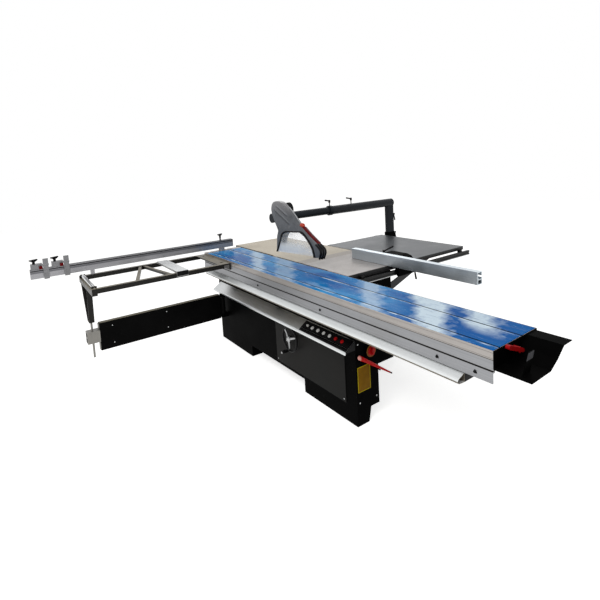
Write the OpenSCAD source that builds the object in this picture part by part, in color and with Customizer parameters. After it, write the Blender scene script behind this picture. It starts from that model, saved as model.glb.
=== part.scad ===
/* [Sliding table] */
// Length of the sliding table
table_l = 3200; // [2800:50:3200]
// Width of the sliding table
table_w = 375; // [360:5:400]
// Height of the working surface above the floor
table_h = 900; // [880:5:930]
// Depth of the table's extruded box
table_box_h = 92; // [80:1:110]
// Wall of the table's extrusion
table_wall = 6; // [4:1:8]
// Distance from the base's centre back to the table's near end
table_back = 2095; // [1900:5:2200]
// Mouth width of the T-slots
slot_mouth = 12; // [8:1:16]
// Height of the skirt that hangs below the table's outer face
skirt_h = 54; // [40:1:60]

/* [Guide beam] */
// Length of the fixed guide beam
beam_l = 2930; // [2600:10:3000]
// Width of the fixed guide beam
beam_w = 136; // [120:1:140]
// Diameter of the rollers between beam and table
roller_d = 61.4; // [50:0.1:70]
// Length of the roller trolley
trolley_l = 1200; // [800:20:1300]

/* [Base] */
// Width of the slim body under the sliding table
slim_w = 199; // [160:1:240]
// Length of the slim body
slim_l = 2104; // [1900:4:2200]
// Distance of the slim body's outer face from the blade side of the table
slim_x = 264; // [250:1:300]
// Height of the plinth feet
foot_h = 103; // [80:1:130]
// Wall of the welded bodies
wall = 4; // [3:0.5:6]
// Right side of the main body
body_x = 500; // [440:5:560]
// Spacing of the anchor holes across the base
anchor_dx = 400; // [380:5:420]
// Spacing of the anchor holes along the base
anchor_dy = 1000; // [960:10:1060]
// Diameter of the anchor holes
anchor_d = 14; // [10:1:18]
// Diameter of the dust spigot on the base
dust_d = 120; // [100:5:140]

/* [Tables] */
// Width of the cast main table
main_w = 635; // [560:5:680]
// Length of the cast main table
main_l = 1081; // [1000:1:1150]
// Width of the extension table
ext_w = 781; // [600:1:900]
// Length of the rear table
rear_l = 806; // [600:2:900]
// Depth of the folded table edges
edge_h = 32; // [25:1:40]
// Gap between the sliding table and the main table
blade_gap = 10; // [9:0.5:12]

/* [Saw unit] */
// Diameter of the main blade
blade_d = 300; // [250:5:300]
// Thickness of the main blade
blade_t = 3.2; // [2:0.1:4]
// Number of teeth on the main blade
blade_teeth = 24; // [12:1:36]
// Diameter of the scoring blade
score_d = 120; // [100:1:124]
// Height of the arbor below the table while the blade is down
arbor_drop = 158; // [155:1:162]
// Diameter of the arbor
arbor_d = 30; // [25:1:34]
// Diameter of the motor
motor_d = 150; // [120:5:160]

/* [Fences] */
// Height of the crosscut fence profile
cross_h = 75; // [60:1:90]
// Depth of the crosscut fence profile
cross_t = 55; // [45:1:60]
// Length of the crosscut fence without its extension
cross_l = 1480; // [1200:10:1500]
// Length of the rip fence
rip_l = 1237; // [900:1:1300]
// Height of the rip fence
rip_h = 86; // [70:1:100]

/* [Outrigger] */
// Reach of the outrigger from the sliding table
out_reach = 1125; // [1000:5:1200]
// Length of the outrigger along the table
out_l = 605; // [560:5:700]
// Side of the outrigger's square tubes
out_tube = 38; // [30:1:45]
// Height of the swing arm
arm_h = 238; // [200:2:250]
// Thickness of the swing arm
arm_t = 50; // [44:1:54]

/* [Overhead guard] */
// Width of the guard hood
hood_w = 70; // [64:2:90]
// Wall of the guard hood
hood_wall = 4; // [3:0.5:5]
// Diameter of the outer boom tube
boom_d = 88; // [80:1:96]
// Diameter of the inner boom tube
boom_in_d = 76; // [60:1:80]
// Height of the boom's axis above the working surface
boom_rise = 352; // [345:1:400]
// Width of the overhead post
post_w = 90; // [80:2:110]

/* [Hidden] */
$fn = 48;

// Running gap between pieces that move past each other
gap = 0.3;
// Radial clearance of a shaft in its bore
fit = 0.06;

// Sliding table and guide
table_y0 = -table_back;
table_y1 = table_y0 + table_l;
table_x0 = -table_w;
table_bottom = table_h - table_box_h;
lip = 6;
deck_t = 18;
box_floor = table_h - 68;
box_x1 = -228;
slot_x = [-322, -135];
slot_deep = 8;
slot_w = 24;
slot_cut = 12;
skirt_z1 = table_bottom - 2.5;
skirt_z0 = skirt_z1 - skirt_h;
beam_x1 = -232;
beam_x0 = beam_x1 - beam_w;
beam_top = box_floor - roller_d - 2 * gap;
beam_h = 70;
beam_y0 = table_y0 + 150;
beam_y1 = beam_y0 + beam_l;
beam_z0 = beam_top - beam_h;
nose_top = skirt_z0 - 5;
trolley_y = (beam_y0 + beam_y1) / 2;
trolley_x = (beam_x0 + beam_x1) / 2;

// Base
slim_x1 = slim_w - slim_x;
slim_y0 = -slim_l / 2;
slim_y1 = slim_l / 2;
body_x0 = -226;
body_y0 = -645;
body_y1 = 560;
table_under = 42;
body_top = table_h - table_under;
body_low = body_top - 58;
foot_wall = 6;
bar_x = 236;

// Saw unit
blade_x = blade_gap;
pivot_x = blade_gap;
arbor_z = table_h - arbor_drop;
arc_r = 202;
arc_y = 322;
arc_t = 14;
stud_r = 6;
cradle_x = 150;
cradle_z0 = arbor_z - 246;
column_r = 12;
column_y = 232;
score_y = -(blade_d + score_d) / 2 - 6;
score_z = table_h - score_d / 2 - 10;
motor_y = 132;
motor_z = arbor_z - 142;
belt_x0 = 52;
belt_w = 26;
pulley_r = 34;
motor_pulley_r = 46;
belt_t = 6;

// Console and switches
console_y0 = slim_y0;
console_y1 = slim_y1 - 47;
console_z = beam_z0 - 106;
console_a = 34;
console_run = 96;
panel_l = 530;
button_r = 13;
button_pitch = 66;
button_s = 42;
button_y0 = console_y0 + 84;

// Push stick, as (x, z) points on the end face
stick_a = [-247, console_z - 113];
stick_b = [37, console_z - 312];
stick_r = 15;
stick_tip = 5;
peg_r = 4;
iso_z = console_z - 99;

// Handwheel
wheel_y = -328;
wheel_z = console_z - 194;
wheel_r = 96;
wheel_x = -304;
rim_r = 9;
shaft_r = 12;
handle_a = 190;

// Outrigger and arm
out_x0 = table_x0 - out_reach;
out_x1 = table_x0 - gap;
out_y1 = min(table_y1, slim_y1 + 53);
out_y0 = out_y1 - out_l;
out_top = table_h - 16;
arm_y = out_y1 - 200;
arm_top = console_z - 94;
arm_z0 = arm_top - arm_h;
arm_x1 = -341;
arm_x0 = -1420;
inner_l = 900;
arm_pin_x = -305;
arm_pin_r = 12;
spindle_x = -1472;
spindle_r = 8;
leg_z0 = arm_top + 23;
end_drop = 16;

// Crosscut fence
cross_x1 = -80;
cross_x0 = cross_x1 - cross_l;
cross_y0 = out_y1 - 40;
cross_z0 = table_h + 25;
cross_z1 = cross_z0 + cross_h;
cross_wall = 5;
head_l = 278;
swivel_x = -200;
swivel_y = cross_y0 + 8;
pin_r = 6;
stop_l = 82;
flag_w = 38;
stop_x = [cross_x0 - head_l + 4, cross_x0 - head_l + 150];
stop_h = 44;

// Tables, rail and rip fence
main_y0 = -685;
main_y1 = main_y0 + main_l;
main_x1 = blade_gap + main_w;
ext_x0 = main_x1 + 10;
ext_x1 = ext_x0 + ext_w;
ext_y1 = main_y1 - 6;
rear_y0 = main_y1 + 3;
rear_y1 = rear_y0 + rear_l;
rail_y1 = main_y0 - 28;
rail_y0 = rail_y1 - 20;
rail_z0 = table_h - 78;
rail_z1 = table_h - 38;
rip_x = 416;
rip_t = 50;
rip_y1 = -268;
rip_z0 = table_h + 3;
carry_x0 = rip_x + rip_t + 12;
carry_w = 180;

// Overhead guard
boom_y = 405;
boom_h = table_h + boom_rise;
post_x0 = 1542;
post_x1 = post_x0 + post_w;
post_d = 50;
post_z0 = table_h - 140;
sleeve_z1 = table_h + 15;
boom_x0 = 700;
boom_x1 = 1620;
lever_x = boom_x0 + 313;
hood_x0 = blade_x - hood_w / 2;
ring_x0 = hood_x0 + hood_w - hood_wall;
ring_x1 = ring_x0 + 28;

module box(x0, x1, y0, y1, z0, z1) {
    translate([x0, y0, z0])
        cube([x1 - x0, y1 - y0, z1 - z0]);
}

// A profile of (x, z) points carried along Y
module along_y(y0, y1) {
    translate([0, y1, 0])
        rotate([90, 0, 0])
            linear_extrude(height = y1 - y0)
                children();
}

// A profile of (y, z) points carried along X
module along_x(x0, x1) {
    translate([x0, 0, 0])
        rotate([90, 0, 90])
            linear_extrude(height = x1 - x0)
                children();
}

module rod_x(x0, x1, y, z, r) {
    translate([x0, y, z])
        rotate([0, 90, 0])
            cylinder(h = x1 - x0, r = r);
}

module rod_y(x, y0, y1, z, r) {
    translate([x, y0, z])
        rotate([-90, 0, 0])
            cylinder(h = y1 - y0, r = r);
}

module rod_z(x, y, z0, z1, r) {
    translate([x, y, z0])
        cylinder(h = z1 - z0, r = r);
}

// Turns its children onto the sloped console: local X runs up the slope, local Z stands off it
module on_console(s, y) {
    translate([-slim_x, y, console_z])
        rotate([0, -console_a, 0])
            translate([-s, 0, 0])
                children();
}

function arc(cx, cy, r, a0, a1, n) = [for (i = [0:n])
    let (a = a0 + (a1 - a0) * i / n) [cx + r * cos(a), cy + r * sin(a)]];

module machine_base() {
    color([0.07, 0.07, 0.08]) {
        difference() {
            union() {
                box(-slim_x, slim_x1, slim_y0, slim_y1, foot_h, beam_z0);
                box(body_x0, blade_gap, body_y0, body_y1, foot_h, body_low);
                box(blade_gap - wall, body_x, body_y0, body_y1, foot_h, body_top);
                for (y = [slim_y0 + 120, 0, slim_y1 - 190])
                    beam_bracket(y);
                arm_ears();
                rod_y(250, body_y1 - wall, body_y1 + 70, 330, dust_d / 2);
                isolator_boss();
            }
            box(-slim_x + wall, slim_x1 - wall, slim_y0 + wall, slim_y1 - wall,
                foot_h + wall, beam_z0 - wall);
            box(body_x0 + wall, body_x - wall, body_y0 + wall, body_y1 - wall,
                foot_h + wall, table_h);
            rod_y(250, body_y1 - 2 * wall, body_y1 + 71, 330, dust_d / 2 - 3);
            rod_x(-slim_x - 1, -slim_x + wall + 1, wheel_y, wheel_z, shaft_r + fit);
            rod_y(-140, slim_y0 - 31, slim_y0 + wall + 1, iso_z, 6 + fit);
            console_window();
        }
        rod_z(arm_pin_x, arm_y, arm_z0, arm_top, arm_pin_r);
    }
}

// Opening in the slim body behind the switches
module console_window() {
    box(-slim_x - 1, -slim_x + wall + 1, console_y0 + 30, console_y0 + panel_l - 30,
        console_z - 64, console_z - 12);
}

module beam_bracket(y) {
    along_y(y - 30, y + 30)
        polygon([[body_x0, beam_z0], [beam_x0 + 12, beam_z0], [beam_x0 + 12, beam_z0 - 10],
            [-slim_x, beam_z0 - 36], [body_x0, beam_z0 - 36]]);
}

// Two ears that carry the swing arm's pin
module arm_ears() {
    for (z = [arm_z0, arm_top - 36]) {
        box(arm_pin_x, -slim_x, arm_y - 24, arm_y + 24, z, z + 36);
        rod_z(arm_pin_x, arm_y, z, z + 36, 25);
    }
}

module isolator_boss() {
    box(-180, -100, slim_y0 - 12, slim_y0, iso_z - 40, iso_z + 40);
    rod_y(-140, slim_y0 - 18, slim_y0, iso_z, 36);
    for (s = [45, 215])
        rod_y(peg_at(s)[0], slim_y0 - 34, slim_y0, peg_at(s)[1], peg_r);
}

module base_feet() {
    color([0.05, 0.05, 0.06])
        difference() {
            union() {
                for (s = [-1, 1]) {
                    plinth(s);
                    box(-slim_x + 62, bar_x, s * anchor_dy / 2 - 60,
                        s * anchor_dy / 2 + 60, 0, foot_h - gap);
                }
            }
            for (s = [-1, 1]) {
                box(-slim_x + 8, bar_x - foot_wall, s * anchor_dy / 2 - 54,
                    s * anchor_dy / 2 + 54, foot_wall + 2, foot_h - foot_wall);
                for (x = [-anchor_dx / 2, anchor_dx / 2])
                    rod_z(x, s * anchor_dy / 2, -1, foot_wall + 3, anchor_d / 2);
                box(bar_x - 20, bar_x + 1, s * anchor_dy / 2 - 46,
                    s * anchor_dy / 2 + 46, foot_wall + 2, foot_h - foot_wall);
            }
        }
}

// One plinth with sloped inner side
module plinth(s) {
    y0 = (s < 0) ? slim_y0 + 3 : slim_y1 - 649;
    y1 = (s < 0) ? slim_y0 + 611 : slim_y1;
    difference() {
        along_y(y0, y1)
            polygon([[-slim_x, 0], [-slim_x + 104, 0], [-slim_x + 126, foot_h - gap],
                [-slim_x, foot_h - gap]]);
        along_y(y0 + foot_wall, y1 - foot_wall)
            polygon([[-slim_x + foot_wall, foot_wall + 2], [-slim_x + 98, foot_wall + 2],
                [-slim_x + 118, foot_h - foot_wall], [-slim_x + foot_wall, foot_h - foot_wall]]);
    }
}

module front_panel() {
    color([0.18, 0.18, 0.19])
        difference() {
            union() {
                box(-slim_x - 4, -slim_x - gap, -942, -54, foot_h + 25, console_z - 88);
                rod_x(-slim_x - 9, -slim_x - gap, wheel_y, wheel_z, 24);
            }
            rod_x(-slim_x - 10, -slim_x, wheel_y, wheel_z, shaft_r + fit);
        }
}

module console_strip() {
    color([0.75, 0.76, 0.77])
        difference() {
            along_y(console_y0, console_y1)
                polygon([[-slim_x - gap, console_z], [-slim_x - 80, console_z - 54],
                    [-slim_x - 86, console_z - 61], [-slim_x - 86, console_z - 73],
                    [-slim_x - 81, console_z - 73], [-slim_x - 81, console_z - 63],
                    [-slim_x - 76, console_z - 58], [-slim_x - 6, console_z - 11],
                    [-slim_x - 6, console_z - 56], [-slim_x - gap, console_z - 56]]);
            on_console(0, 0)
                box(-button_s - 26, -button_s + 26, console_y0 + 12,
                    console_y0 + panel_l - 12, -30, 20);
            box(-slim_x - 8, -slim_x, console_y0 + 12, console_y0 + panel_l - 12,
                console_z - 58, console_z - 14);
        }
}

module control_panel() {
    color([0.03, 0.03, 0.035])
        difference() {
            on_console(0, 0)
                box(-button_s - 30, -button_s + 34, console_y0 + 2, console_y0 + panel_l,
                    gap, 3 + gap);
            for (i = [0:5])
                on_console(button_s, button_y0 + i * button_pitch)
                    cylinder(h = 20, r = button_r + gap, center = true);
            on_console(button_s, button_y0 + 6 * button_pitch - 12)
                cylinder(h = 20, r = 7 + fit, center = true);
        }
}

module button(i, tint) {
    color(tint)
        on_console(button_s, button_y0 + i * button_pitch)
            rotate_extrude()
                polygon([[0, -5], [button_r, -5], [button_r, 7], [button_r - 1.5, 8.5],
                    [button_r - 5, 9], [0, 8.4]]);
}

module white_button_1() {
    button(2, [0.85, 0.85, 0.83]);
}

module white_button_2() {
    button(3, [0.85, 0.85, 0.83]);
}

module white_button_3() {
    button(4, [0.85, 0.85, 0.83]);
}

module white_button_4() {
    button(5, [0.85, 0.85, 0.83]);
}

module red_button_1() {
    button(0, [0.65, 0.05, 0.08]);
}

module red_button_2() {
    button(1, [0.65, 0.05, 0.08]);
}

module selector_switch() {
    color([0.85, 0.85, 0.83])
        on_console(button_s, button_y0 + 6 * button_pitch - 12) {
            translate([0, 0, -6])
                cylinder(h = 12, r = 7);
            translate([0, 0, 6])
                cylinder(h = 5, r = 9);
            translate([-2.5, -9, 11])
                cube([5, 18, 6]);
        }
}

module isolator_knob() {
    color([0.7, 0.05, 0.04]) {
        rod_y(-140, slim_y0 - 24, slim_y0 - 18 - gap, iso_z, 30);
        rod_y(-140, slim_y0 - 18 - gap, slim_y0 + 2, iso_z, 6);
        difference() {
            rod_y(-140, slim_y0 - 40, slim_y0 - 24, iso_z, 22);
            for (s = [-1, 1])
                box(-140 + (s < 0 ? -24 : 7), -140 + (s < 0 ? -7 : 24), slim_y0 - 41,
                    slim_y0 - 24, iso_z - 27, iso_z + 27);
        }
    }
}

// Centre of the peg under the stick, s along its axis from the big end
function peg_at(s) = let (d = stick_b - stick_a) let (u = d / norm(d))
    stick_a + s * u + (stick_r + (stick_tip - stick_r) * s / norm(d) + peg_r + 0.2) * [u[1], -u[0]];

// Tapered stick that hangs on two pegs
module push_stick() {
    color([0.72, 0.05, 0.05])
        hull() {
            translate([stick_a[0], slim_y0 - 24, stick_a[1]])
                sphere(r = stick_r, $fn = 24);
            translate([stick_b[0], slim_y0 - 24, stick_b[1]])
                sphere(r = stick_tip, $fn = 24);
        }
}

module handwheel() {
    color([0.08, 0.08, 0.08]) {
        translate([wheel_x, wheel_y, wheel_z])
            rotate([0, 90, 0])
                rotate_extrude()
                    translate([wheel_r, 0])
                        circle(r = rim_r);
        for (a = [10, 130, 250])
            translate([wheel_x, wheel_y, wheel_z])
                rotate([a, 0, 0])
                    along_x(-5, 5)
                        polygon([[-15, 14], [15, 14], [8, wheel_r - 4], [-8, wheel_r - 4]]);
        rod_x(wheel_x - 14, wheel_x + 14, wheel_y, wheel_z, 24);
        rod_x(wheel_x, -150, wheel_y, wheel_z, shaft_r);
        translate([wheel_x, wheel_y, wheel_z])
            rotate([handle_a, 0, 0])
                rod_x(-72, 0, 0, wheel_r, 5);
    }
}

module wheel_handle() {
    color([0.05, 0.05, 0.05])
        translate([wheel_x, wheel_y, wheel_z])
            rotate([handle_a, 0, 0])
                translate([-12, 0, wheel_r])
                    rotate([0, -90, 0])
                        rotate_extrude()
                            polygon([[5 + fit, 0], [9, 0], [11, 9], [14, 33], [13, 50],
                                [9, 55], [5 + fit, 55]]);
}

module base_beam() {
    color([0.72, 0.73, 0.74]) {
        difference() {
            box(beam_x0, beam_x1, beam_y0, beam_y1, beam_z0, beam_top);
            for (x = [beam_x0 + 6, trolley_x + 3])
                box(x, x + beam_w / 2 - 9, beam_y0 - 1, beam_y1 + 1, beam_z0 + 8,
                    beam_top - 10);
            box(trolley_x - 20, trolley_x + 20, beam_y0 - 1, beam_y1 + 1, beam_top - 1.5,
                beam_top + 1);
        }
        along_y(beam_y0, beam_y1)
            difference() {
                polygon(nose_points(0));
                polygon(nose_points(3));
            }
    }
}

// The nose's outline, moved inwards by t
function nose_points(t) = [[beam_x0 - t, nose_top - 1.2 * t], [beam_x0 - 40 + t / 2, nose_top - 16 - t],
    [beam_x0 - 48 + t, nose_top - 20 - t / 2], [beam_x0 - 52 + t, nose_top - 28],
    [beam_x0 - 50 + t, nose_top - 37 + t / 2], [beam_x0 - 42 + t / 2, nose_top - 42 + t],
    [beam_x0 - 20, nose_top - 45 + t], [beam_x0 - t, nose_top - 46 + t]];

module roller_trolley() {
    r = roller_d / 2;
    z = beam_top + gap + r;
    color([0.35, 0.36, 0.38]) {
        for (x = [trolley_x - 30, trolley_x + 22])
            box(x, x + 8, trolley_y - trolley_l / 2, trolley_y + trolley_l / 2, z - 12, z + 12);
        for (y = [-trolley_l / 2 + 45:trolley_l / 5 - 18:trolley_l / 2 - 44]) {
            rod_x(trolley_x - 20, trolley_x + 20, trolley_y + y, z, r);
            rod_x(trolley_x - 32, trolley_x + 32, trolley_y + y, z, 7);
        }
    }
}

module table_outline() {
    polygon([[table_x0, table_h], [0, table_h], [0, table_h - lip], [-60, table_h - deck_t],
        [slot_x[1] + 24, table_h - deck_t], [slot_x[1] + 22, table_h - 36],
        [slot_x[1] - 22, table_h - 36], [slot_x[1] - 24, table_h - deck_t],
        [box_x1, table_h - deck_t], [box_x1, box_floor], [table_x0 + 9, box_floor],
        [table_x0 + 9, table_bottom], [table_x0, table_bottom]]);
}

module t_slot(x) {
    translate([x - slot_mouth / 2, table_h - slot_deep])
        square([slot_mouth, slot_deep + 1]);
    translate([x - slot_w / 2, table_h - slot_deep - slot_cut])
        square([slot_w, slot_cut]);
}

module sliding_table() {
    color([0.74, 0.74, 0.75]) {
        difference() {
            along_y(table_y0, table_y1)
                difference() {
                    table_outline();
                    for (x = slot_x)
                        t_slot(x);
                    translate([slot_x[0] + 24, box_floor + table_wall])
                        square([box_x1 - slot_x[0] - 24 - table_wall, 54]);
                    translate([table_x0 + table_wall, box_floor + table_wall])
                        square([slot_x[0] - 22 - table_x0 - table_wall, 54]);
                    for (z = [table_h - 10, table_h - 36])
                        translate([table_x0 - 1, z])
                            square([2.5, 2]);
                }
            rod_z(swivel_x, swivel_y, table_h - deck_t - 1, table_h + 1, pin_r + fit);
        }
        along_y(table_y0, table_y1)
            polygon([[table_x0 - 4, skirt_z1], [table_x0 - 4, skirt_z0],
                [table_x0 + 1, skirt_z0], [table_x0 + 1, skirt_z1 - 8],
                [table_x0 + 14, skirt_z1 - 8], [table_x0 + 14, box_floor - gap],
                [table_x0 + 9 + gap, box_floor - gap], [table_x0 + 9 + gap, skirt_z1]]);
    }
}

module end_tray() {
    z = table_bottom + 7;
    t = 3;
    color([0.04, 0.04, 0.045]) {
        along_y(table_y0 - 170, table_y0 - gap)
            polygon([[table_x0, z + 14], [table_x0, z], [-215, z], [-150, z + 34],
                [-92, table_h - 8], [-12, table_h - 8], [-12, table_h - 5],
                [-94, table_h - 5], [-152, z + 34 + t], [-216, z + t],
                [table_x0 + t, z + t], [table_x0 + t, z + 14]]);
        along_y(table_y0 - 4, table_y0 - gap)
            polygon([[table_x0, z], [-215, z], [-150, z + 34], [-92, table_h - 8],
                [0, table_h - 8], [0, table_h - 1], [table_x0, table_h - 1]]);
        along_y(table_y0 - 117, table_y0 - 113)
            polygon([[-350, z + t - 1], [-288, z + t - 1], [-252, table_h + 6],
                [-300, table_h + 6]]);
    }
}

module table_lock() {
    color([0.75, 0.06, 0.05]) {
        rod_y(-215, table_y0 - 36, table_y0 - 4 - gap, table_h - 32, 13);
        along_y_lever(table_y0 - 36, table_y0 - 16);
    }
}

// Flat lever with round ends
module along_y_lever(y0, y1) {
    along_y(y0, y1)
        polygon(concat(arc(-188, table_h - 42, 9, -112, 68, 10),
            arc(-296, table_h + 2, 10, 68, 248, 10)));
}

module outrigger_frame() {
    t = out_tube;
    z0 = out_top - t;
    color([0.06, 0.06, 0.065]) {
        difference() {
            union() {
                for (y = [out_y0, out_y1 - t])
                    box(out_x0, out_x1 - 60, y, y + t, z0, out_top);
                box(out_x0, out_x0 + t, out_y0 + 1, out_y1 - 1, z0 - end_drop, out_top - end_drop);
                box(out_x1 - 100, out_x1, out_y0, out_y1, out_top - 12, out_top);
                box(out_x1 - 12, out_x1, out_y0, out_y1, out_top - 60, out_top);
                brace(out_x0 + 332, out_x0 + 495);
                brace(out_x0 + 606, out_x0 + 525);
                leg();
                for (y = [out_y0 + t - 1, out_y1 - t - 7])
                    box(out_x0 + 4, out_x0 + t + 4, y, y + 8, z0, table_h - 1);
            }
            for (y = [out_y0 + 90, out_y1 - 90])
                rod_z(out_x1 - 45, y, out_top - 13, out_top + 1, 14);
            rod_y(roller_x(), out_y0 + t - 4, out_y1 - t + 4, roller_z(), 5 + fit);
        }
    }
}

function roller_x() = out_x0 + out_tube / 2 + 5;
function roller_z() = table_h - 14;

// Flat bar from the near member at xa to the far member at xb
module brace(xa, xb) {
    t = out_tube;
    translate([0, 0, out_top - 26])
        linear_extrude(height = 22)
            polygon([[xa - 14, out_y0 + t - 4], [xa + 14, out_y0 + t - 4],
                [xb + 12, out_y1 - t + 4], [xb - 12, out_y1 - t + 4]]);
}

// Tapered leg that stands over the swing arm's spindle
module leg() {
    z1 = out_top - end_drop - 2;
    difference() {
        along_x(out_x0 + 8, out_x0 + 48)
            polygon([[arm_y - 83, z1], [out_y1 - 5, z1], [out_y1 - 5, z1 - 46],
                [arm_y + 40, leg_z0], [arm_y - 43, leg_z0]]);
        along_x(out_x0 + 7, out_x0 + 44)
            polygon([[arm_y - 76, z1 - out_tube], [out_y1 - 14, z1 - out_tube],
                [out_y1 - 14, z1 - 48], [arm_y + 34, leg_z0 + 6], [arm_y - 36, leg_z0 + 6]]);
    }
}

module outrigger_roller() {
    t = out_tube;
    color([0.8, 0.8, 0.82]) {
        rod_y(roller_x(), out_y0 + t + 8, out_y1 - t - 8, roller_z(), 14 - gap / 2);
        rod_y(roller_x(), out_y0 + t - 3, out_y1 - t + 3, roller_z(), 5);
    }
}

module cross_profile() {
    y0 = out_y0 - gap;
    y1 = cross_y0 - 4;
    x0 = out_x0 + 639;
    color([0.76, 0.77, 0.78]) {
        difference() {
            box(x0, x0 + 98, y0, y1, out_top + gap, table_h);
            for (x = [x0 + 4, x0 + 51])
                box(x, x + 43, y0 - 1, y1 + 1, out_top + 4, table_h - 3);
        }
        box(x0, x0 + 98, y0 - 6, y0, out_top - 30, table_h);
    }
}

module swing_arm() {
    color([0.04, 0.04, 0.045])
        difference() {
            union() {
                box(arm_x0, arm_x1, arm_y - arm_t / 2, arm_y + arm_t / 2, arm_z0, arm_top);
                box(arm_x1 - 2, arm_pin_x, arm_y - 18, arm_y + 18, arm_z0 + 36 + gap,
                    arm_top - 36 - gap);
                rod_z(arm_pin_x, arm_y, arm_z0 + 36 + gap, arm_top - 36 - gap, 24);
            }
            box(arm_x0 - 1, arm_x1 - 6, arm_y - arm_t / 2 + 5, arm_y + arm_t / 2 - 5,
                arm_z0 + 6, arm_top - 6);
            rod_z(arm_pin_x, arm_y, arm_z0, arm_top, arm_pin_r + fit);
        }
}

module arm_extension() {
    color([0.74, 0.74, 0.75]) {
        difference() {
            union() {
                box(arm_x0 - 6, arm_x0 + inner_l, arm_y - arm_t / 2 + 5 + gap,
                    arm_y + arm_t / 2 - 5 - gap, arm_z0 + 6 + gap, arm_top - 6 - gap);
                box(arm_x0 - 96, arm_x0 - gap, arm_y - 42, arm_y + 42, arm_z0 + 84, arm_top - 55);
            }
            box(arm_x0 - 4, arm_x0 + inner_l + 1, arm_y - arm_t / 2 + 9, arm_y + arm_t / 2 - 9,
                arm_z0 + 10, arm_top - 10);
            for (z = [arm_z0 + 93, arm_z0 + 139])
                box(arm_x0 - 97, arm_x0 - 30, arm_y - 32, arm_y + 32, z, z + 36);
        }
        rod_z(spindle_x, arm_y, arm_z0 - 48, leg_z0 - 2, spindle_r);
    }
}

module cross_outline(inset) {
    i = inset;
    polygon([[cross_y0 + i, cross_z0 + i], [cross_y0 + cross_t - i, cross_z0 + i],
        [cross_y0 + cross_t - i, cross_z1 - i], [cross_y0 + i, cross_z1 - i]]);
}

// Groove on top of the crosscut fence, where the stops run
module cross_groove() {
    translate([cross_y0 + cross_t / 2 - 5, cross_z1 - 4])
        square([10, 5]);
}

module crosscut_fence() {
    color([0.66, 0.67, 0.7]) {
        along_x(cross_x0, cross_x1)
            difference() {
                cross_outline(0);
                cross_outline(cross_wall);
                cross_groove();
            }
        rod_z(swivel_x, swivel_y, table_h + gap, cross_z0, 30);
        rod_z(swivel_x, swivel_y, table_h - deck_t + 4, table_h + gap + 4, pin_r);
        box(-1410, -1380, cross_y0 + 6, cross_y0 + 38, out_top + gap, cross_z0);
        box(cross_x1, cross_x1 + 6, cross_y0, cross_y0 + cross_t, cross_z0, cross_z1);
    }
}

module fence_extension() {
    i = cross_wall + gap;
    color([0.76, 0.77, 0.79]) {
        along_x(cross_x0 - head_l, cross_x0 - gap)
            difference() {
                cross_outline(0);
                cross_outline(cross_wall);
                cross_groove();
            }
        along_x(cross_x0 - head_l, cross_x0 + 600)
            difference() {
                cross_outline(i);
                cross_outline(i + 4);
            }
        box(cross_x0 - head_l - 3, cross_x0 - head_l, cross_y0, cross_y0 + cross_t,
            cross_z0, cross_z1);
    }
}

// Saddle on the fence's top with a tongue in the groove
module stop_carriage(i) {
    x = stop_x[i];
    color([0.78, 0.78, 0.8])
        difference() {
            union() {
                box(x, x + stop_l, cross_y0 + 2, cross_y0 + cross_t - 2, cross_z1 + gap,
                    cross_z1 + stop_h);
                box(x + 4, x + stop_l - 4, cross_y0 + cross_t / 2 - 4,
                    cross_y0 + cross_t / 2 + 4, cross_z1 - 3.5, cross_z1 + 1);
                rod_x(x + stop_l, x + stop_l + flag_w + 6, cross_y0 - 10, cross_z1 + 34, 5);
                box(x + stop_l - 8, x + stop_l, cross_y0 - 16, cross_y0 + 3, cross_z1 + 24,
                    cross_z1 + stop_h);
            }
            rod_z(x + 24, cross_y0 + cross_t / 2, cross_z1 + 10, cross_z1 + stop_h + 1, 5 + fit);
        }
}

module stop_carriage_1() {
    stop_carriage(0);
}

module stop_carriage_2() {
    stop_carriage(1);
}

// Plate that hangs in front of the fence and flips up about its pin
module stop_flag(i) {
    x = stop_x[i] + stop_l + 2;
    y = cross_y0 - 10;
    z = cross_z1 + 34;
    color([0.8, 0.8, 0.82])
        difference() {
            union() {
                box(x, x + flag_w, y - 6, y + 6, cross_z0 - 8, z + 50);
                rod_x(x, x + flag_w, y, z, 9);
                box(x - 1, x + 8, y - 9, y - 5, cross_z0 + 10, z - 20);
            }
            rod_x(x - 2, x + flag_w + 1, y, z, 5 + fit);
        }
}

module stop_flag_1() {
    stop_flag(0);
}

module stop_flag_2() {
    stop_flag(1);
}

// T-knob with stem along Z, standing at the given place
module t_knob(x, y, z, stem) {
    color([0.04, 0.04, 0.04]) {
        rod_z(x, y, z - stem, z + 10, 5);
        rod_z(x, y, z + gap, z + 26, 10);
        translate([x, y, z + 26])
            rotate([0, 0, 30])
                along_y(-9, 9)
                    polygon([[-12, -6], [12, -6], [30, 4], [30, 12], [-30, 12], [-30, 4]]);
    }
}

module stop_knob_1() {
    t_knob(stop_x[0] + 24, cross_y0 + cross_t / 2, cross_z1 + stop_h, 30);
}

module stop_knob_2() {
    t_knob(stop_x[1] + 24, cross_y0 + cross_t / 2, cross_z1 + stop_h, 30);
}

module fence_knob() {
    t_knob(swivel_x, cross_y0 + cross_t / 2, cross_z1 + 30, 20);
    color([0.04, 0.04, 0.04])
        rod_z(swivel_x, cross_y0 + cross_t / 2, cross_z1 + gap, cross_z1 + 30, 8);
}

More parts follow.
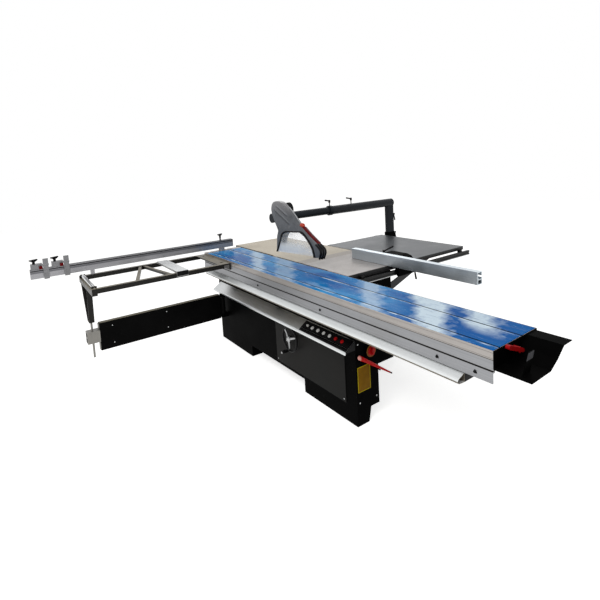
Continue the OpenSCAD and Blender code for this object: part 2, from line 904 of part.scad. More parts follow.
module main_table() {
    z0 = body_top;
    color([0.62, 0.58, 0.56])
        difference() {
            box(blade_gap, main_x1, main_y0, main_y1, z0, table_h);
            box(blade_gap + 12, 186, main_y0 + 12, main_y1 - 12, z0 - 1, table_h - 14);
            for (i = [0:2])
                for (j = [0:3])
                    box(200 + i * 148, 334 + i * 148, main_y0 + 12 + j * 266,
                        main_y0 + 266 + j * 266 - 8, z0 - 1, table_h - 14);
            box(blade_gap - 1, blade_gap + 13, -330, 330, z0 - 1, table_h - 8);
            box(blade_gap - 1, blade_gap + 7, -437, 330, z0 - 1, table_h + 1);
        }
}

module folded_top(x0, x1, y0, y1) {
    difference() {
        box(x0, x1, y0, y1, table_h - edge_h, table_h);
        box(x0 + 3, x1 - 3, y0 + 3, y1 - 3, table_h - edge_h - 1, table_h - 4);
    }
}

module rear_table() {
    x0 = blade_gap + 15;
    color([0.66, 0.6, 0.5]) {
        folded_top(x0, main_x1 - 5, rear_y0, rear_y1);
        for (x = [90, 440]) {
            box(x, x + 40, rear_y0 + 20, body_y1, body_top, table_h - 4);
            along_x(x, x + 6)
                polygon([[body_y1, body_top - 260], [body_y1 + 40, body_top - 260],
                    [rear_y1 - 120, table_h - edge_h], [rear_y1 - 120, table_h - 4],
                    [rear_y1 - 190, table_h - 4], [body_y1, body_top - 200]]);
        }
    }
}

module extension_table() {
    color([0.55, 0.57, 0.6]) {
        folded_top(ext_x0, ext_x1, main_y0, ext_y1);
        for (y = [main_y0 + 150, ext_y1 - 260]) {
            along_y(y, y + 6)
                polygon([[body_x, body_top - 260], [body_x + 40, body_top - 260],
                    [ext_x1 - 160, table_h - edge_h], [ext_x1 - 160, table_h - 4],
                    [ext_x1 - 230, table_h - 4], [body_x, body_top - 200]]);
            box(main_x1, ext_x0 + 1, y - 20, y + 26, table_h - edge_h, table_h - 8);
        }
    }
}

module fence_rail() {
    color([0.75, 0.75, 0.76])
        difference() {
            union() {
                box(20, ext_x1 + 30, rail_y0, rail_y1, rail_z0, rail_z1);
                for (x = [120, 620, ext_x0 + 60, ext_x1 - 90])
                    box(x, x + 30, rail_y1 - 1, main_y0, rail_z0 + 4, table_h - 22);
            }
            box(19, ext_x1 + 31, rail_y0 - 1, rail_y0 + 5, rail_z0 + 15, rail_z1 - 15);
        }
}

module fence_carriage() {
    x1 = carry_x0 + carry_w;
    color([0.05, 0.05, 0.055]) {
        along_x(carry_x0, x1)
            polygon([[rail_y0 - 26, rail_z0 - 8], [rail_y0 - gap, rail_z0 - 8],
                [rail_y0 - gap, rail_z1 + gap], [rail_y1 - 6, rail_z1 + gap],
                [rail_y1 - 6, table_h - 13], [rail_y1 + 8, table_h + gap],
                [-480, table_h + gap], [-480, table_h + 40], [-520, table_h + 64],
                [-690, table_h + 64], [rail_y0 - 6, table_h + 52],
                [rail_y0 - 26, table_h + 28]]);
        box(rip_x + rip_t + gap, carry_x0, -690, -500, table_h + 20, table_h + 60);
    }
}

module rip_fence() {
    x = rip_x;
    color([0.68, 0.7, 0.72])
        along_y(rip_y1 - rip_l, rip_y1)
            difference() {
                translate([x, rip_z0])
                    square([rip_t, rip_h]);
                translate([x + 6, rip_z0 + 5])
                    square([rip_t - 11, 26]);
                translate([x + 6, rip_z0 + 36])
                    square([rip_t - 11, rip_h - 41]);
                translate([x + rip_t - 6, rip_z0 + 46])
                    square([8, 12]);
            }
}

// Tapered bar along -X with a round end, rising a little from its boss
module lever(len) {
    rotate([0, -78, 0]) {
        cylinder(h = len, r1 = 6, r2 = 8);
        translate([0, 0, len])
            sphere(r = 8);
    }
}

// Clamp lever: boss on a stud along Z, with a bar that points to -X
module clamp_lever(len, stud, sink) {
    color([0.04, 0.04, 0.045]) {
        translate([0, 0, -sink])
            cylinder(h = stud + sink, r = 5);
        translate([0, 0, stud - 4])
            cylinder(h = 28, r = 11);
        translate([0, 0, stud + 14])
            lever(len);
    }
}

module fence_clamp_lever() {
    translate([carry_x0 + 40, -560, table_h + 64 + gap])
        rotate([0, 0, 180])
            clamp_lever(110, 8, 0);
}

module rail_lever() {
    translate([carry_x0 + carry_w + gap, rail_y0 - 13, rail_z0 + 8])
        rotate([0, 90, 0])
            rotate([0, 0, 180])
                clamp_lever(80, 6, 0);
}

// One fixed arc with its curved slot, in the XZ plane
module trunnion_outline() {
    difference() {
        union() {
            polygon(concat(arc(pivot_x, table_h, arc_r + 22, -150, -25, 36),
                arc(pivot_x, table_h, arc_r - 22, -25, -150, 36)));
            translate([pivot_x + 192, table_h - 130])
                square([36, 130 - 14]);
        }
        polygon(concat(arc(pivot_x, table_h, arc_r + stud_r + 0.4, -141, -32, 40),
            arc(pivot_x, table_h, arc_r - stud_r - 0.4, -32, -141, 40)));
    }
}

module trunnion_arcs() {
    color([0.3, 0.32, 0.34])
        for (y = [-arc_y - arc_t, arc_y])
            along_y(y, y + arc_t)
                trunnion_outline();
}

module saw_cradle() {
    color([0.25, 0.26, 0.3]) {
        for (z = [table_h - 38, cradle_z0])
            box(cradle_x - 15, cradle_x + 15, -arc_y + 2, arc_y - 2, z, z + 14);
        for (s = [-1, 1]) {
            rod_z(cradle_x, s * column_y, cradle_z0 + 2, table_h - 36, column_r);
            y = s > 0 ? arc_y - 16 : -arc_y + 1;
            along_y(y, y + 15)
                polygon([[135, table_h - 24], [165, table_h - 24], [184, table_h - 130],
                    [165, cradle_z0], [135, cradle_z0], [100, table_h - 230],
                    [14, table_h - 215], [14, table_h - 186], [110, table_h - 178],
                    [135, table_h - 150]]);
            for (a = [-40, -84])
                rod_y(pivot_x + arc_r * cos(a), s > 0 ? arc_y - 2 : -arc_y - arc_t,
                    s > 0 ? arc_y + arc_t : -arc_y + 2, table_h + arc_r * sin(a), stud_r);
        }
        difference() {
            union() {
                rod_x(38, 120, score_y, score_z, 20);
                box(116, 130, score_y - 26, score_y + 26, score_z - 26, table_h - 24);
                box(116, 137, score_y - 26, score_y + 26, table_h - 38, table_h - 24);
            }
            rod_x(37, 131, score_y, score_z, 9 + fit);
        }
    }
}

module arbor_housing() {
    z0 = arbor_z - 52;
    z1 = arbor_z + 26;
    color([0.4, 0.42, 0.45]) {
        difference() {
            union() {
                box(cradle_x - 18, cradle_x + 18, -258, 258, z0, z1);
                rod_x(86, cradle_x - 17, 0, arbor_z, 30);
                rod_x(24, 46, 0, arbor_z, 30);
                for (x = [26, cradle_x - 60])
                    box(x, x + 18, -60, -10, arbor_z - 26, arbor_z + 20);
                box(26, cradle_x - 17, -60, -45, arbor_z - 26, arbor_z + 20);
                box(cradle_x - 18, cradle_x - 6, motor_y - 80, motor_y + 80, motor_z - 60, z0 + 1);
            }
            for (s = [-1, 1])
                rod_z(cradle_x, s * column_y, z0 - 40, z1 + 60, column_r + fit);
            rod_x(20, cradle_x + 20, 0, arbor_z, arbor_d / 2 + fit);
            rod_x(cradle_x - 20, cradle_x, motor_y, motor_z, 22);
        }
        riving_knife();
    }
}

// Curved knife behind the blade, on its own bracket
module riving_knife() {
    r = blade_d / 2;
    along_x(blade_x - 1.3, blade_x + 1.3)
        polygon(concat(arc(0, arbor_z, r + 6, 0, 62, 14),
            arc(0, arbor_z, r + 50, 46, -10, 14), [[r + 6, arbor_z - 44]]));
    box(blade_x + 1.3, blade_x + 14, r + 12, r + 42, arbor_z - 40, arbor_z + 6);
    box(blade_x + 10, cradle_x - 17, r + 14, r + 34, arbor_z - 40, arbor_z - 10);
}

// Teeth as a saw-edged disc
function teeth(r, n, depth) = [for (i = [0:n - 1]) for (k = [0:1])
    let (a = 360 * (i + k * 0.72) / n) let (q = k == 0 ? r : r - depth) [q * cos(a), q * sin(a)]];

module saw_arbor() {
    color([0.7, 0.7, 0.72]) {
        translate([blade_x - blade_t / 2, 0, arbor_z])
            rotate([90, 0, 90])
                linear_extrude(height = blade_t)
                    polygon(teeth(blade_d / 2, blade_teeth, 9));
        rod_x(blade_x + blade_t / 2, 22, 0, arbor_z, 38);
        rod_x(blade_x - 10, blade_x - blade_t / 2, 0, arbor_z, 38);
        rod_x(blade_x - 22, blade_x - 10, 0, arbor_z, 18);
        rod_x(blade_x - 10, cradle_x + 22, 0, arbor_z, arbor_d / 2);
        rod_x(belt_x0, belt_x0 + belt_w, 0, arbor_z, pulley_r);
    }
}

module scoring_arbor() {
    color([0.7, 0.7, 0.72]) {
        translate([blade_x - 1.6, score_y, score_z])
            rotate([90, 0, 90])
                linear_extrude(height = 3.2)
                    polygon(teeth(score_d / 2, 20, 5));
        rod_x(blade_x + 1.6, 22, score_y, score_z, 20);
        rod_x(blade_x - 8, blade_x - 1.6, score_y, score_z, 20);
        rod_x(blade_x - 8, 128, score_y, score_z, 9);
    }
}

module saw_motor() {
    x0 = cradle_x - 6 + gap;
    color([0.2, 0.28, 0.36])
        difference() {
            union() {
                rod_x(x0, x0 + 12, motor_y, motor_z, motor_d / 2 + 8);
                rod_x(x0 + 12, x0 + 178, motor_y, motor_z, motor_d / 2 - 4);
                for (a = [0:24:359])
                    translate([x0 + 14, motor_y, motor_z])
                        rotate([a, 0, 0])
                            box(0, 158, -2, 2, motor_d / 2 - 6, motor_d / 2 + 3);
            }
            rod_x(x0 - 1, x0 + 60, motor_y, motor_z, 14 + fit);
        }
}

module motor_pulley() {
    color([0.5, 0.5, 0.52]) {
        rod_x(belt_x0, belt_x0 + belt_w, motor_y, motor_z, motor_pulley_r);
        rod_x(belt_x0 + belt_w, cradle_x + 50, motor_y, motor_z, 14);
    }
}

// Belt loop: outer outline around both pulleys, hollow inside
module belt_outline(grow) {
    d = sqrt(pow(motor_y, 2) + pow(arbor_z - motor_z, 2));
    a = atan2(motor_z - arbor_z, motor_y);
    b = asin((motor_pulley_r - pulley_r) / d);
    polygon(concat(arc(0, arbor_z, pulley_r + grow, a + 90 + b, a + 270 - b, 24),
        arc(motor_y, motor_z, motor_pulley_r + grow, a - 90 - b, a + 90 + b, 24)));
}

module drive_belt() {
    color([0.05, 0.05, 0.05])
        along_x(belt_x0 + 2, belt_x0 + belt_w - 2)
            difference() {
                belt_outline(belt_t);
                belt_outline(gap);
            }
}

module arm_support() {
    color([0.07, 0.07, 0.08])
        difference() {
            union() {
                box(body_x, post_x0 - 8, boom_y + 4, boom_y + 54, table_h - 140, table_h - 60);
                box(body_x, body_x + 12, boom_y - 30, boom_y + 90, table_h - 200, table_h - 46);
                box(post_x0 - 8, post_x1 + 8, boom_y - post_d / 2 - 8, boom_y + post_d / 2 + 8,
                    post_z0 - 60, sleeve_z1);
                for (x = [ext_x0 + 40, ext_x1 - 80])
                    box(x, x + 40, ext_y1, boom_y + 20, table_h - 100, table_h - 6);
            }
            box(post_x0 - gap, post_x1 + gap, boom_y - post_d / 2 - gap, boom_y + post_d / 2 + gap,
                post_z0 - 52, sleeve_z1 + 1);
            box(body_x + 6, post_x0 - 12, boom_y + 8, boom_y + 50, table_h - 136, table_h - 64);
        }
}

module upper_post() {
    color([0.1, 0.12, 0.14]) {
        difference() {
            union() {
                box(post_x0, post_x1, boom_y - post_d / 2, boom_y + post_d / 2, post_z0,
                    boom_h - boom_d / 2 + 12);
                rod_x(boom_x0, boom_x1, boom_y, boom_h, boom_d / 2);
                rod_x(boom_x0, boom_x0 + 40, boom_y, boom_h, boom_d / 2 + 6);
            }
            rod_x(boom_x0 - 1, boom_x1 + 1, boom_y, boom_h, boom_in_d / 2 + gap);
            box(post_x0 + 8, post_x1 - 8, boom_y - post_d / 2 + 8, boom_y + post_d / 2 - 8,
                post_z0 - 1, boom_h - boom_d / 2 - 6);
            for (x = [boom_x0 + 20, lever_x])
                rod_z(x, boom_y, boom_h, boom_h + boom_d, 5 + fit);
        }
        rod_x(boom_x1 - 4, boom_x1 + 6, boom_y, boom_h, boom_d / 2);
    }
}

module boom_tube() {
    color([0.09, 0.09, 0.1]) {
        difference() {
            rod_x(ring_x0 - 14, boom_x0 + 530, boom_y, boom_h, boom_in_d / 2);
            rod_x(ring_x0 - 10, boom_x0 + 531, boom_y, boom_h, boom_in_d / 2 - 4);
        }
        rod_x(ring_x0 - 14, ring_x0 - gap, boom_y, boom_h, boom_in_d / 2 + 6);
        rod_x(ring_x1 + gap, ring_x1 + 18, boom_y, boom_h, boom_in_d / 2 + 8);
    }
}

module boom_lever_1() {
    translate([boom_x0 + 20, boom_y, boom_h + boom_d / 2 + 6 + gap])
        clamp_lever(52, 34, 9);
}

module boom_lever_2() {
    translate([lever_x, boom_y, boom_h + boom_d / 2 + gap])
        clamp_lever(60, 38, 3);
}

module post_lever(x, z) {
    translate([x + gap, boom_y, z])
        rotate([0, 90, 0])
            rotate([0, 0, 180])
                clamp_lever(70, 14, 0);
}

module post_lever_1() {
    post_lever(post_x1, boom_h - 140);
}

module post_lever_2() {
    post_lever(post_x1 + 8, sleeve_z1 - 18);
}

// The hood's side outline, moved inwards by t, as (y, z) points about the boom's height
function hood_points(t) = concat(
    [[263 - t, -289], [252 - t, -140], [212 - t, -50], [244 - t, 24]],
    arc(235, 100, 72 - t, -30, 90, 10),
    [[150, 164 - t], [45 + t / 2, 98 - t], [-68 + t / 2, 2 - t],
        [-220 + t / 2, -92 - t], [-300 + t / 2, -134 - t]],
    arc(-368, -210, 40 - t, 95, 225, 9),
    [[-388 + t, -252], [-312, -257]]);

// Outline of the clear window, grown outwards by t
function window_points(t) = [[-312 - t, -267], [-296 - t, -200],
    [-231 - t / 2, -126 + t], [-151 - t / 2, -72 + t], [81, -90 + t],
    [150 + t / 2, -124 + t], [192 + t, -200], [250 + t, -297]];

module guard_hood() {
    x1 = hood_x0 + hood_w;
    color([0.38, 0.4, 0.42])
        translate([0, 0, boom_h])
            difference() {
                union() {
                    hood_shell(x1);
                    along_x(x1 - hood_wall, x1 + 8)
                        polygon([[205, 30], [205, -46], [boom_y, -50], [boom_y, 50]]);
                    rod_x(ring_x0, ring_x1, boom_y, 0, boom_in_d / 2 + 11);
                    rod_x(x1 - 1, x1 + 40, 150, 98, 40);
                }
                rod_x(hood_x0, x1 + 60, boom_y, 0, boom_in_d / 2 + fit);
                rod_x(x1 - hood_wall - 1, x1 + 41, 150, 98, 37);
            }
}

module hood_shell(x1) {
    difference() {
        along_x(hood_x0, x1)
            polygon(hood_points(0));
        along_x(hood_x0 + hood_wall, x1 - hood_wall)
            polygon(concat([[260 - hood_wall, -312]], hood_points(hood_wall), [[-312, -312]]));
        along_x(hood_x0 - 1, x1 + 1)
            polygon(window_points(0));
    }
}

module guard_window() {
    x1 = hood_x0 + hood_w;
    color([0.8, 0.85, 0.88, 0.4])
        translate([0, 0, boom_h])
            for (x = [hood_x0 + hood_wall + gap, x1 - hood_wall - gap - 3])
                along_x(x, x + 3)
                    intersection() {
                        polygon(window_points(10));
                        polygon(concat([[250, -284]], hood_points(8), [[-312, -253]]));
                    }
}

machine_base();
base_feet();
front_panel();
console_strip();
control_panel();
white_button_1();
white_button_2();
white_button_3();
white_button_4();
red_button_1();
red_button_2();
selector_switch();
isolator_knob();
push_stick();
handwheel();
wheel_handle();
base_beam();
roller_trolley();
sliding_table();
end_tray();
table_lock();
outrigger_frame();
outrigger_roller();
cross_profile();
swing_arm();
arm_extension();
crosscut_fence();
fence_extension();
stop_carriage_1();
stop_carriage_2();
stop_flag_1();
stop_flag_2();
stop_knob_1();
stop_knob_2();
fence_knob();
main_table();
rear_table();
extension_table();
fence_rail();
fence_carriage();
rip_fence();
fence_clamp_lever();
rail_lever();
trunnion_arcs();
saw_cradle();
arbor_housing();
saw_arbor();
scoring_arbor();
saw_motor();
motor_pulley();
drive_belt();
arm_support();
upper_post();
boom_tube();
boom_lever_1();
boom_lever_2();
post_lever_1();
post_lever_2();
guard_hood();
guard_window();
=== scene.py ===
"""Looks of a sliding table saw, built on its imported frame, in metres."""

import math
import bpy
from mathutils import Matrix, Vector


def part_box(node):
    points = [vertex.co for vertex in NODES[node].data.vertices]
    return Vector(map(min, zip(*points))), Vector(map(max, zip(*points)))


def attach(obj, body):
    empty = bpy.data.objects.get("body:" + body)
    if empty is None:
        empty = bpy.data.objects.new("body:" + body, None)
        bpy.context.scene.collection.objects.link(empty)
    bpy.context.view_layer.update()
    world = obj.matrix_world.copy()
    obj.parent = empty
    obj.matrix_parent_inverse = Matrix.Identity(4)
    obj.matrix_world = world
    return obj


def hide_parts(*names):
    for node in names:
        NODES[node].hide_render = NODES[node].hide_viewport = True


bl_info = {
    "name": "Sliding Table Saw Looks",
    "version": (1, 0, 0),
    "blender": (4, 5, 0),
    "location": "3D View > Sidebar > Table Saw",
    "description": "Finishes, protective film, guard and small parts of a sliding table saw",
    "category": "Object",
}

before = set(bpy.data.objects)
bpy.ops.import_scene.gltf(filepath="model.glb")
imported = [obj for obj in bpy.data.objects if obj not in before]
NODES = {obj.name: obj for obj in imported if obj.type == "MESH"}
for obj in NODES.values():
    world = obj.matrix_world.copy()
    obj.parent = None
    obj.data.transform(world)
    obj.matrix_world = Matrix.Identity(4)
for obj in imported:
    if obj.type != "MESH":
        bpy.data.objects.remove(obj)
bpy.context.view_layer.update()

import bmesh
import bpy
import numpy as np
from bpy.props import FloatProperty, FloatVectorProperty, IntProperty, PointerProperty
from bpy.types import Operator, Panel, PropertyGroup
from mathutils import Euler, Vector

MM = 0.001
TABLE_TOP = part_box("main_table")[1].z
FENCE_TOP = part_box("crosscut_fence")[1].z
RAIL_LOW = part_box("fence_rail")[0].z


def linear(code):
    """Turns an sRGB hex value into linear red, green and blue."""
    channels = [int(code[i:i + 2], 16) / 255 for i in (1, 3, 5)]
    return tuple(c / 12.92 if c <= 0.04045 else ((c + 0.055) / 1.055) ** 2.4 for c in channels)


def rgba(code):
    """The same colour with full alpha, for a socket."""
    return (*linear(code), 1.0)


# Settings

class FilmSettings(PropertyGroup):
    """Protective film on the sliding table"""
    thickness: FloatProperty(name="Thickness", description="Thickness of the film", default=0.25 * MM,
                             unit="LENGTH", precision=5)
    lift: FloatProperty(name="Lift", description="Height of the air trapped under the film",
                        default=0.9 * MM, unit="LENGTH", precision=5)
    deep: FloatVectorProperty(name="Deep blue", description="Where the film sticks to the metal",
                              subtype="COLOR", default=linear("#0556A4"))
    # The pale blue is the colour of the film's painted reflections
    pale: FloatVectorProperty(name="Pale blue", description="Where air lies under the film",
                              subtype="COLOR", default=linear("#DDEFFA"))


class GuardSettings(PropertyGroup):
    """Moulded blade guard"""
    half_width: FloatProperty(name="Half width", description="Half of the hood's width",
                              default=35 * MM, unit="LENGTH", precision=4)
    wall: FloatProperty(name="Wall", description="Wall of the moulding", default=3.5 * MM,
                        unit="LENGTH", precision=4)
    grey: FloatVectorProperty(name="Shell grey", description="Colour of the moulded shell",
                              subtype="COLOR", default=linear("#62656A"))


class WheelSettings(PropertyGroup):
    """Handwheel for the tilt"""
    rim_radius: FloatProperty(name="Rim radius", description="Centre line of the rim",
                              default=96 * MM, unit="LENGTH", precision=4)
    rim_thickness: FloatProperty(name="Rim thickness", description="Radius of the rim's section",
                                 default=8.6 * MM, unit="LENGTH", precision=4)
    arms: IntProperty(name="Arms", description="Number of arms", default=3, min=3, max=6)


class ScrewSettings(PropertyGroup):
    """Screw heads"""
    head_radius: FloatProperty(name="Head radius", description="Radius of a panel screw's head",
                               default=5.5 * MM, unit="LENGTH", precision=4)
    head_height: FloatProperty(name="Head height", description="Height of a panel screw's head",
                               default=3 * MM, unit="LENGTH", precision=4)


class StageSettings(PropertyGroup):
    """Floor, lamps and camera"""
    floor: FloatVectorProperty(name="Floor", description="Colour of the floor and backdrop",
                               subtype="COLOR", default=linear("#F4F4F2"))
    lamp_power: FloatProperty(name="Lamp power", description="Power of the large soft lamp",
                              default=150.0, unit="POWER")


class SawSettings(PropertyGroup):
    """Everything that can be changed on the saw's looks"""
    film: PointerProperty(type=FilmSettings)
    guard: PointerProperty(type=GuardSettings)
    wheel: PointerProperty(type=WheelSettings)
    screws: PointerProperty(type=ScrewSettings)
    stage: PointerProperty(type=StageSettings)


# Material nodes

def add_node(tree, kind, inputs=None, output=0, **settings):
    """Adds one node with its settings, and its sockets' values or links, and gives one of its outputs."""
    made = tree.nodes.new(kind)
    for key, value in settings.items():
        setattr(made, key, value)
    for key, value in (inputs or {}).items():
        if isinstance(value, bpy.types.NodeSocket):
            tree.links.new(value, made.inputs[key])
        else:
            made.inputs[key].default_value = value
    return made.outputs[output] if made.outputs else None


def object_place(tree, repeats=1.0):
    """Object coordinates in repeats a metre, alike on all axes or along X, Y and Z."""
    scale = repeats if isinstance(repeats, tuple) else (repeats,) * 3
    place = add_node(tree, "ShaderNodeTexCoord", output="Object")
    return add_node(tree, "ShaderNodeMapping", {"Vector": place, "Scale": scale})


def coordinate(tree, axis):
    """One Object coordinate in metres, where 0 is X, 1 is Y and 2 is Z."""
    place = add_node(tree, "ShaderNodeTexCoord", output="Object")
    return add_node(tree, "ShaderNodeSeparateXYZ", {0: place}, axis)


def looking_up(tree):
    """1 on faces that look straight up, 0 on standing ones, and less on faces that look down."""
    normal = add_node(tree, "ShaderNodeNewGeometry", output="Normal")
    return add_node(tree, "ShaderNodeSeparateXYZ", {0: normal}, 2)


def fractal(tree, repeats, detail=3.0, roughness=0.5, distortion=0.0):
    """Fractal noise laid on the object, with so many repeats a metre."""
    return add_node(tree, "ShaderNodeTexNoise", {
        "Vector": object_place(tree, repeats), "Scale": 1.0, "Detail": detail, "Roughness": roughness,
        "Distortion": distortion})


def die_lines(tree, apart, length, along):
    """Lines so many millimetres apart that run for a length along one axis, as a die or a brush leaves.
    Real ones are about 0.1 mm apart, too fine to show, so they are drawn several times as coarse."""
    repeats = [1 / (apart * MM)] * 3
    repeats["XYZ".index(along)] = 1 / (length * MM)
    return fractal(tree, tuple(repeats), 4.0, 0.7)


def blend(tree, a, b, factor, low=0.0, high=1.0, share=1.0):
    """Goes from colour a to b, a share of the way at most, as a factor rises from low to high."""
    a, b = (rgba(colour) if isinstance(colour, str) else colour for colour in (a, b))
    mixed = add_node(tree, "ShaderNodeMapRange", {0: factor, 1: low, 2: high, 3: 0.0, 4: share})
    return add_node(tree, "ShaderNodeMix", {0: mixed, 6: a, 7: b}, 2, data_type="RGBA")


def stripe(tree, place, middle, half, soft):
    """1 within half of a middle value, fading to 0 over a soft width."""
    away = add_node(tree, "ShaderNodeMath", {0: place, 1: middle}, operation="SUBTRACT")
    away = add_node(tree, "ShaderNodeMath", {0: away}, operation="ABSOLUTE")
    return add_node(tree, "ShaderNodeMapRange", {0: away, 1: half, 2: half + soft, 3: 1.0, 4: 0.0})


def close_material(tree, colour, rough, relief=None, metal=0.0, specular=0.5, coat=0.0):
    """Adds shader and output. Rough is a pattern with its least and most roughness, relief a pattern with
    the depth in metres and the strength of its bump."""
    pattern, least, most = rough
    rough = add_node(tree, "ShaderNodeMapRange", {0: pattern, 1: 0.3, 2: 0.7, 3: least, 4: most})
    sockets = {"Base Color": colour, "Roughness": rough, "Metallic": metal, "Specular IOR Level": specular,
               "Coat Weight": coat}
    if relief:
        height, depth, strength = relief
        sockets["Normal"] = add_node(tree, "ShaderNodeBump", {
            "Height": height, "Distance": depth, "Strength": strength})
    shader = add_node(tree, "ShaderNodeBsdfPrincipled", sockets)
    add_node(tree, "ShaderNodeOutputMaterial", {"Surface": shader})


def powder_coat(tree, base, worn, roughness, specular=0.2, peel=1.6, dust_and_highlight=None):
    """Polyester powder coat on sheet steel: an orange peel of about 1.6 mm, and a faint haze some 200 mm
    wide, as hands and dust leave it. Where a pale colour is given, it is a painted highlight laid on
    faces that look up."""
    haze = fractal(tree, 6.0 if dust_and_highlight else 5.0, 5.0, 0.6)
    grain = fractal(tree, 1 / (peel * MM), 2.0)
    colour = blend(tree, base, worn, haze, 0.35, 0.75)
    if dust_and_highlight:
        # Painted highlight: the pale colour on faces that look up stands for light glinting off their gloss
        painted_top_highlight = add_node(tree, "ShaderNodeMapRange", {0: looking_up(tree), 1: 0.5, 2: 0.85, 3: 0.0, 4: 0.9})
        patchy = add_node(tree, "ShaderNodeMapRange", {0: haze, 1: 0.3, 2: 0.6, 3: 0.6, 4: 1.0})
        painted_top_highlight = add_node(tree, "ShaderNodeMath", {0: painted_top_highlight, 1: patchy}, operation="MULTIPLY")
        colour = blend(tree, colour, dust_and_highlight, painted_top_highlight)
    close_material(tree, colour, (haze, roughness - 0.05, roughness + 0.08), (grain, 0.06 * MM, 0.6),
                   specular=specular)


def table_extrusion(tree):
    """Anodised table extrusion: die lines along its length, smears about 300 mm long, a paler upper band
    and a dark joint line 42 mm below the top, where two profiles meet, with a groove 50 mm under that,
    drawn as a dark line of painted shade."""
    z = coordinate(tree, 2)
    lines = die_lines(tree, 2.4, 900, "Y")
    smear = fractal(tree, 3.5, 4.0, 0.55, 0.4)
    colour = blend(tree, "#848588", "#9B9C9F", lines, 0.3, 0.7)
    colour = blend(tree, colour, "#A7A19C", z, TABLE_TOP - 46 * MM, TABLE_TOP - 40 * MM, 0.8)
    colour = blend(tree, colour, "#7B766D", smear, 0.55, 0.85, 0.3)
    # The upper line is the profiles' dark joint; the lower line is painted shade in the groove
    for below, half, soft in ((42 * MM, 1.1 * MM, 0.8 * MM), (92 * MM, 2.5 * MM, 1.5 * MM)):
        colour = blend(tree, colour, "#2B2926", stripe(tree, z, TABLE_TOP - below, half, soft))
    close_material(tree, colour, (smear, 0.34, 0.46), (lines, 0.06 * MM, 0.5), 0.85)


def drawn_metal(tree, dark, light, roughness, along, apart=0.7, length=900.0, metal=1.0):
    """Drawn or brushed metal: die lines, mostly 0.7 mm apart, and soft smears about 300 mm wide."""
    lines = die_lines(tree, apart, length, along)
    smear = fractal(tree, 3.5, 4.0, 0.55, 0.4)
    colour = blend(tree, dark, light, lines, 0.3, 0.7)
    colour = blend(tree, colour, "#6E6961", smear, 0.55, 0.85, 0.25)
    close_material(tree, colour, (smear, roughness - 0.04, roughness + 0.08), (lines, 0.05 * MM, 0.5), metal)


def painted_top_light(tree, dark, light, shaded):
    """Clear anodised cover profile: die lines of 0.7 mm along it, with a painted highlight where it looks up
    and painted shade where its faces stand or look down, which keeps its lower edge readable on a pale
    floor."""
    lines = die_lines(tree, 0.7, 900, "Y")
    # Painted light: the upward faces take the bright colour, the standing ones the shaded one
    colour = blend(tree, shaded, blend(tree, dark, light, lines, 0.3, 0.7), looking_up(tree), 0.05, 0.4)
    close_material(tree, colour, (lines, 0.32, 0.44), (lines, 0.05 * MM, 0.5), 0.45)


def ground_table(tree, front, rear, rear_start, band):
    """Ground iron table: grinding lines 1.2 mm apart across the feed, preservative oil gone tan over the
    rear with a browner band of painted shade just in front of it, and black paint below the ground face.
    Its clouds are 250 mm wide, and its gloss changes every 25 mm."""
    lines = fractal(tree, (1 / (250 * MM), 1 / (1.2 * MM), 1 / (3 * MM)), 3.0, 0.6)
    cloud = fractal(tree, 4.0, 5.0, 0.6, 0.5)
    sway = add_node(tree, "ShaderNodeMapRange", {0: cloud, 1: 0.3, 2: 0.7, 3: -0.01, 4: 0.01})
    edge = add_node(tree, "ShaderNodeMath", {0: coordinate(tree, 1), 1: sway}, operation="ADD")
    bare, oiled = (blend(tree, *pair, cloud, 0.35, 0.7) for pair in (front, rear))
    # Painted shade: the browner band just in front of the tan rear
    colour = blend(tree, bare, band, edge, rear_start - 0.13, rear_start - 0.12, 0.75)
    colour = blend(tree, colour, oiled, edge, rear_start - 0.006, rear_start)
    colour = blend(tree, colour, "#D8D2CA", lines, 0.3, 0.7, 0.22)
    z, low, high = coordinate(tree, 2), TABLE_TOP - 3 * MM, TABLE_TOP - 2 * MM
    colour = blend(tree, "#0D0D0E", colour, z, low, high)
    metal = add_node(tree, "ShaderNodeMapRange", {0: z, 1: low, 2: high, 3: 0.0, 4: 0.35})
    fine = fractal(tree, 40.0, 4.0, 0.6)
    close_material(tree, colour, (fine, 0.38, 0.54), (lines, 0.04 * MM, 0.5), metal, 0.3)


def brushed_top(tree):
    """Brushed steel sheet folded down over a black painted frame: hairlines 0.9 mm apart, and wiped
    smears about 330 mm wide."""
    lines = die_lines(tree, 0.9, 350, "X")
    smear = fractal(tree, 3.0, 4.0, 0.6, 0.5)
    colour = blend(tree, "#393C40", "#484C50", lines, 0.3, 0.7)
    colour = blend(tree, colour, "#5E6266", smear, 0.45, 0.8, 0.4)
    z, low, high = coordinate(tree, 2), TABLE_TOP - 4 * MM, TABLE_TOP - 3 * MM
    colour = blend(tree, "#101011", colour, z, low, high)
    metal = add_node(tree, "ShaderNodeMapRange", {0: z, 1: low, 2: high, 3: 0.0, 4: 0.8})
    close_material(tree, colour, (smear, 0.3, 0.42), (lines, 0.04 * MM, 0.5), metal, 0.3)


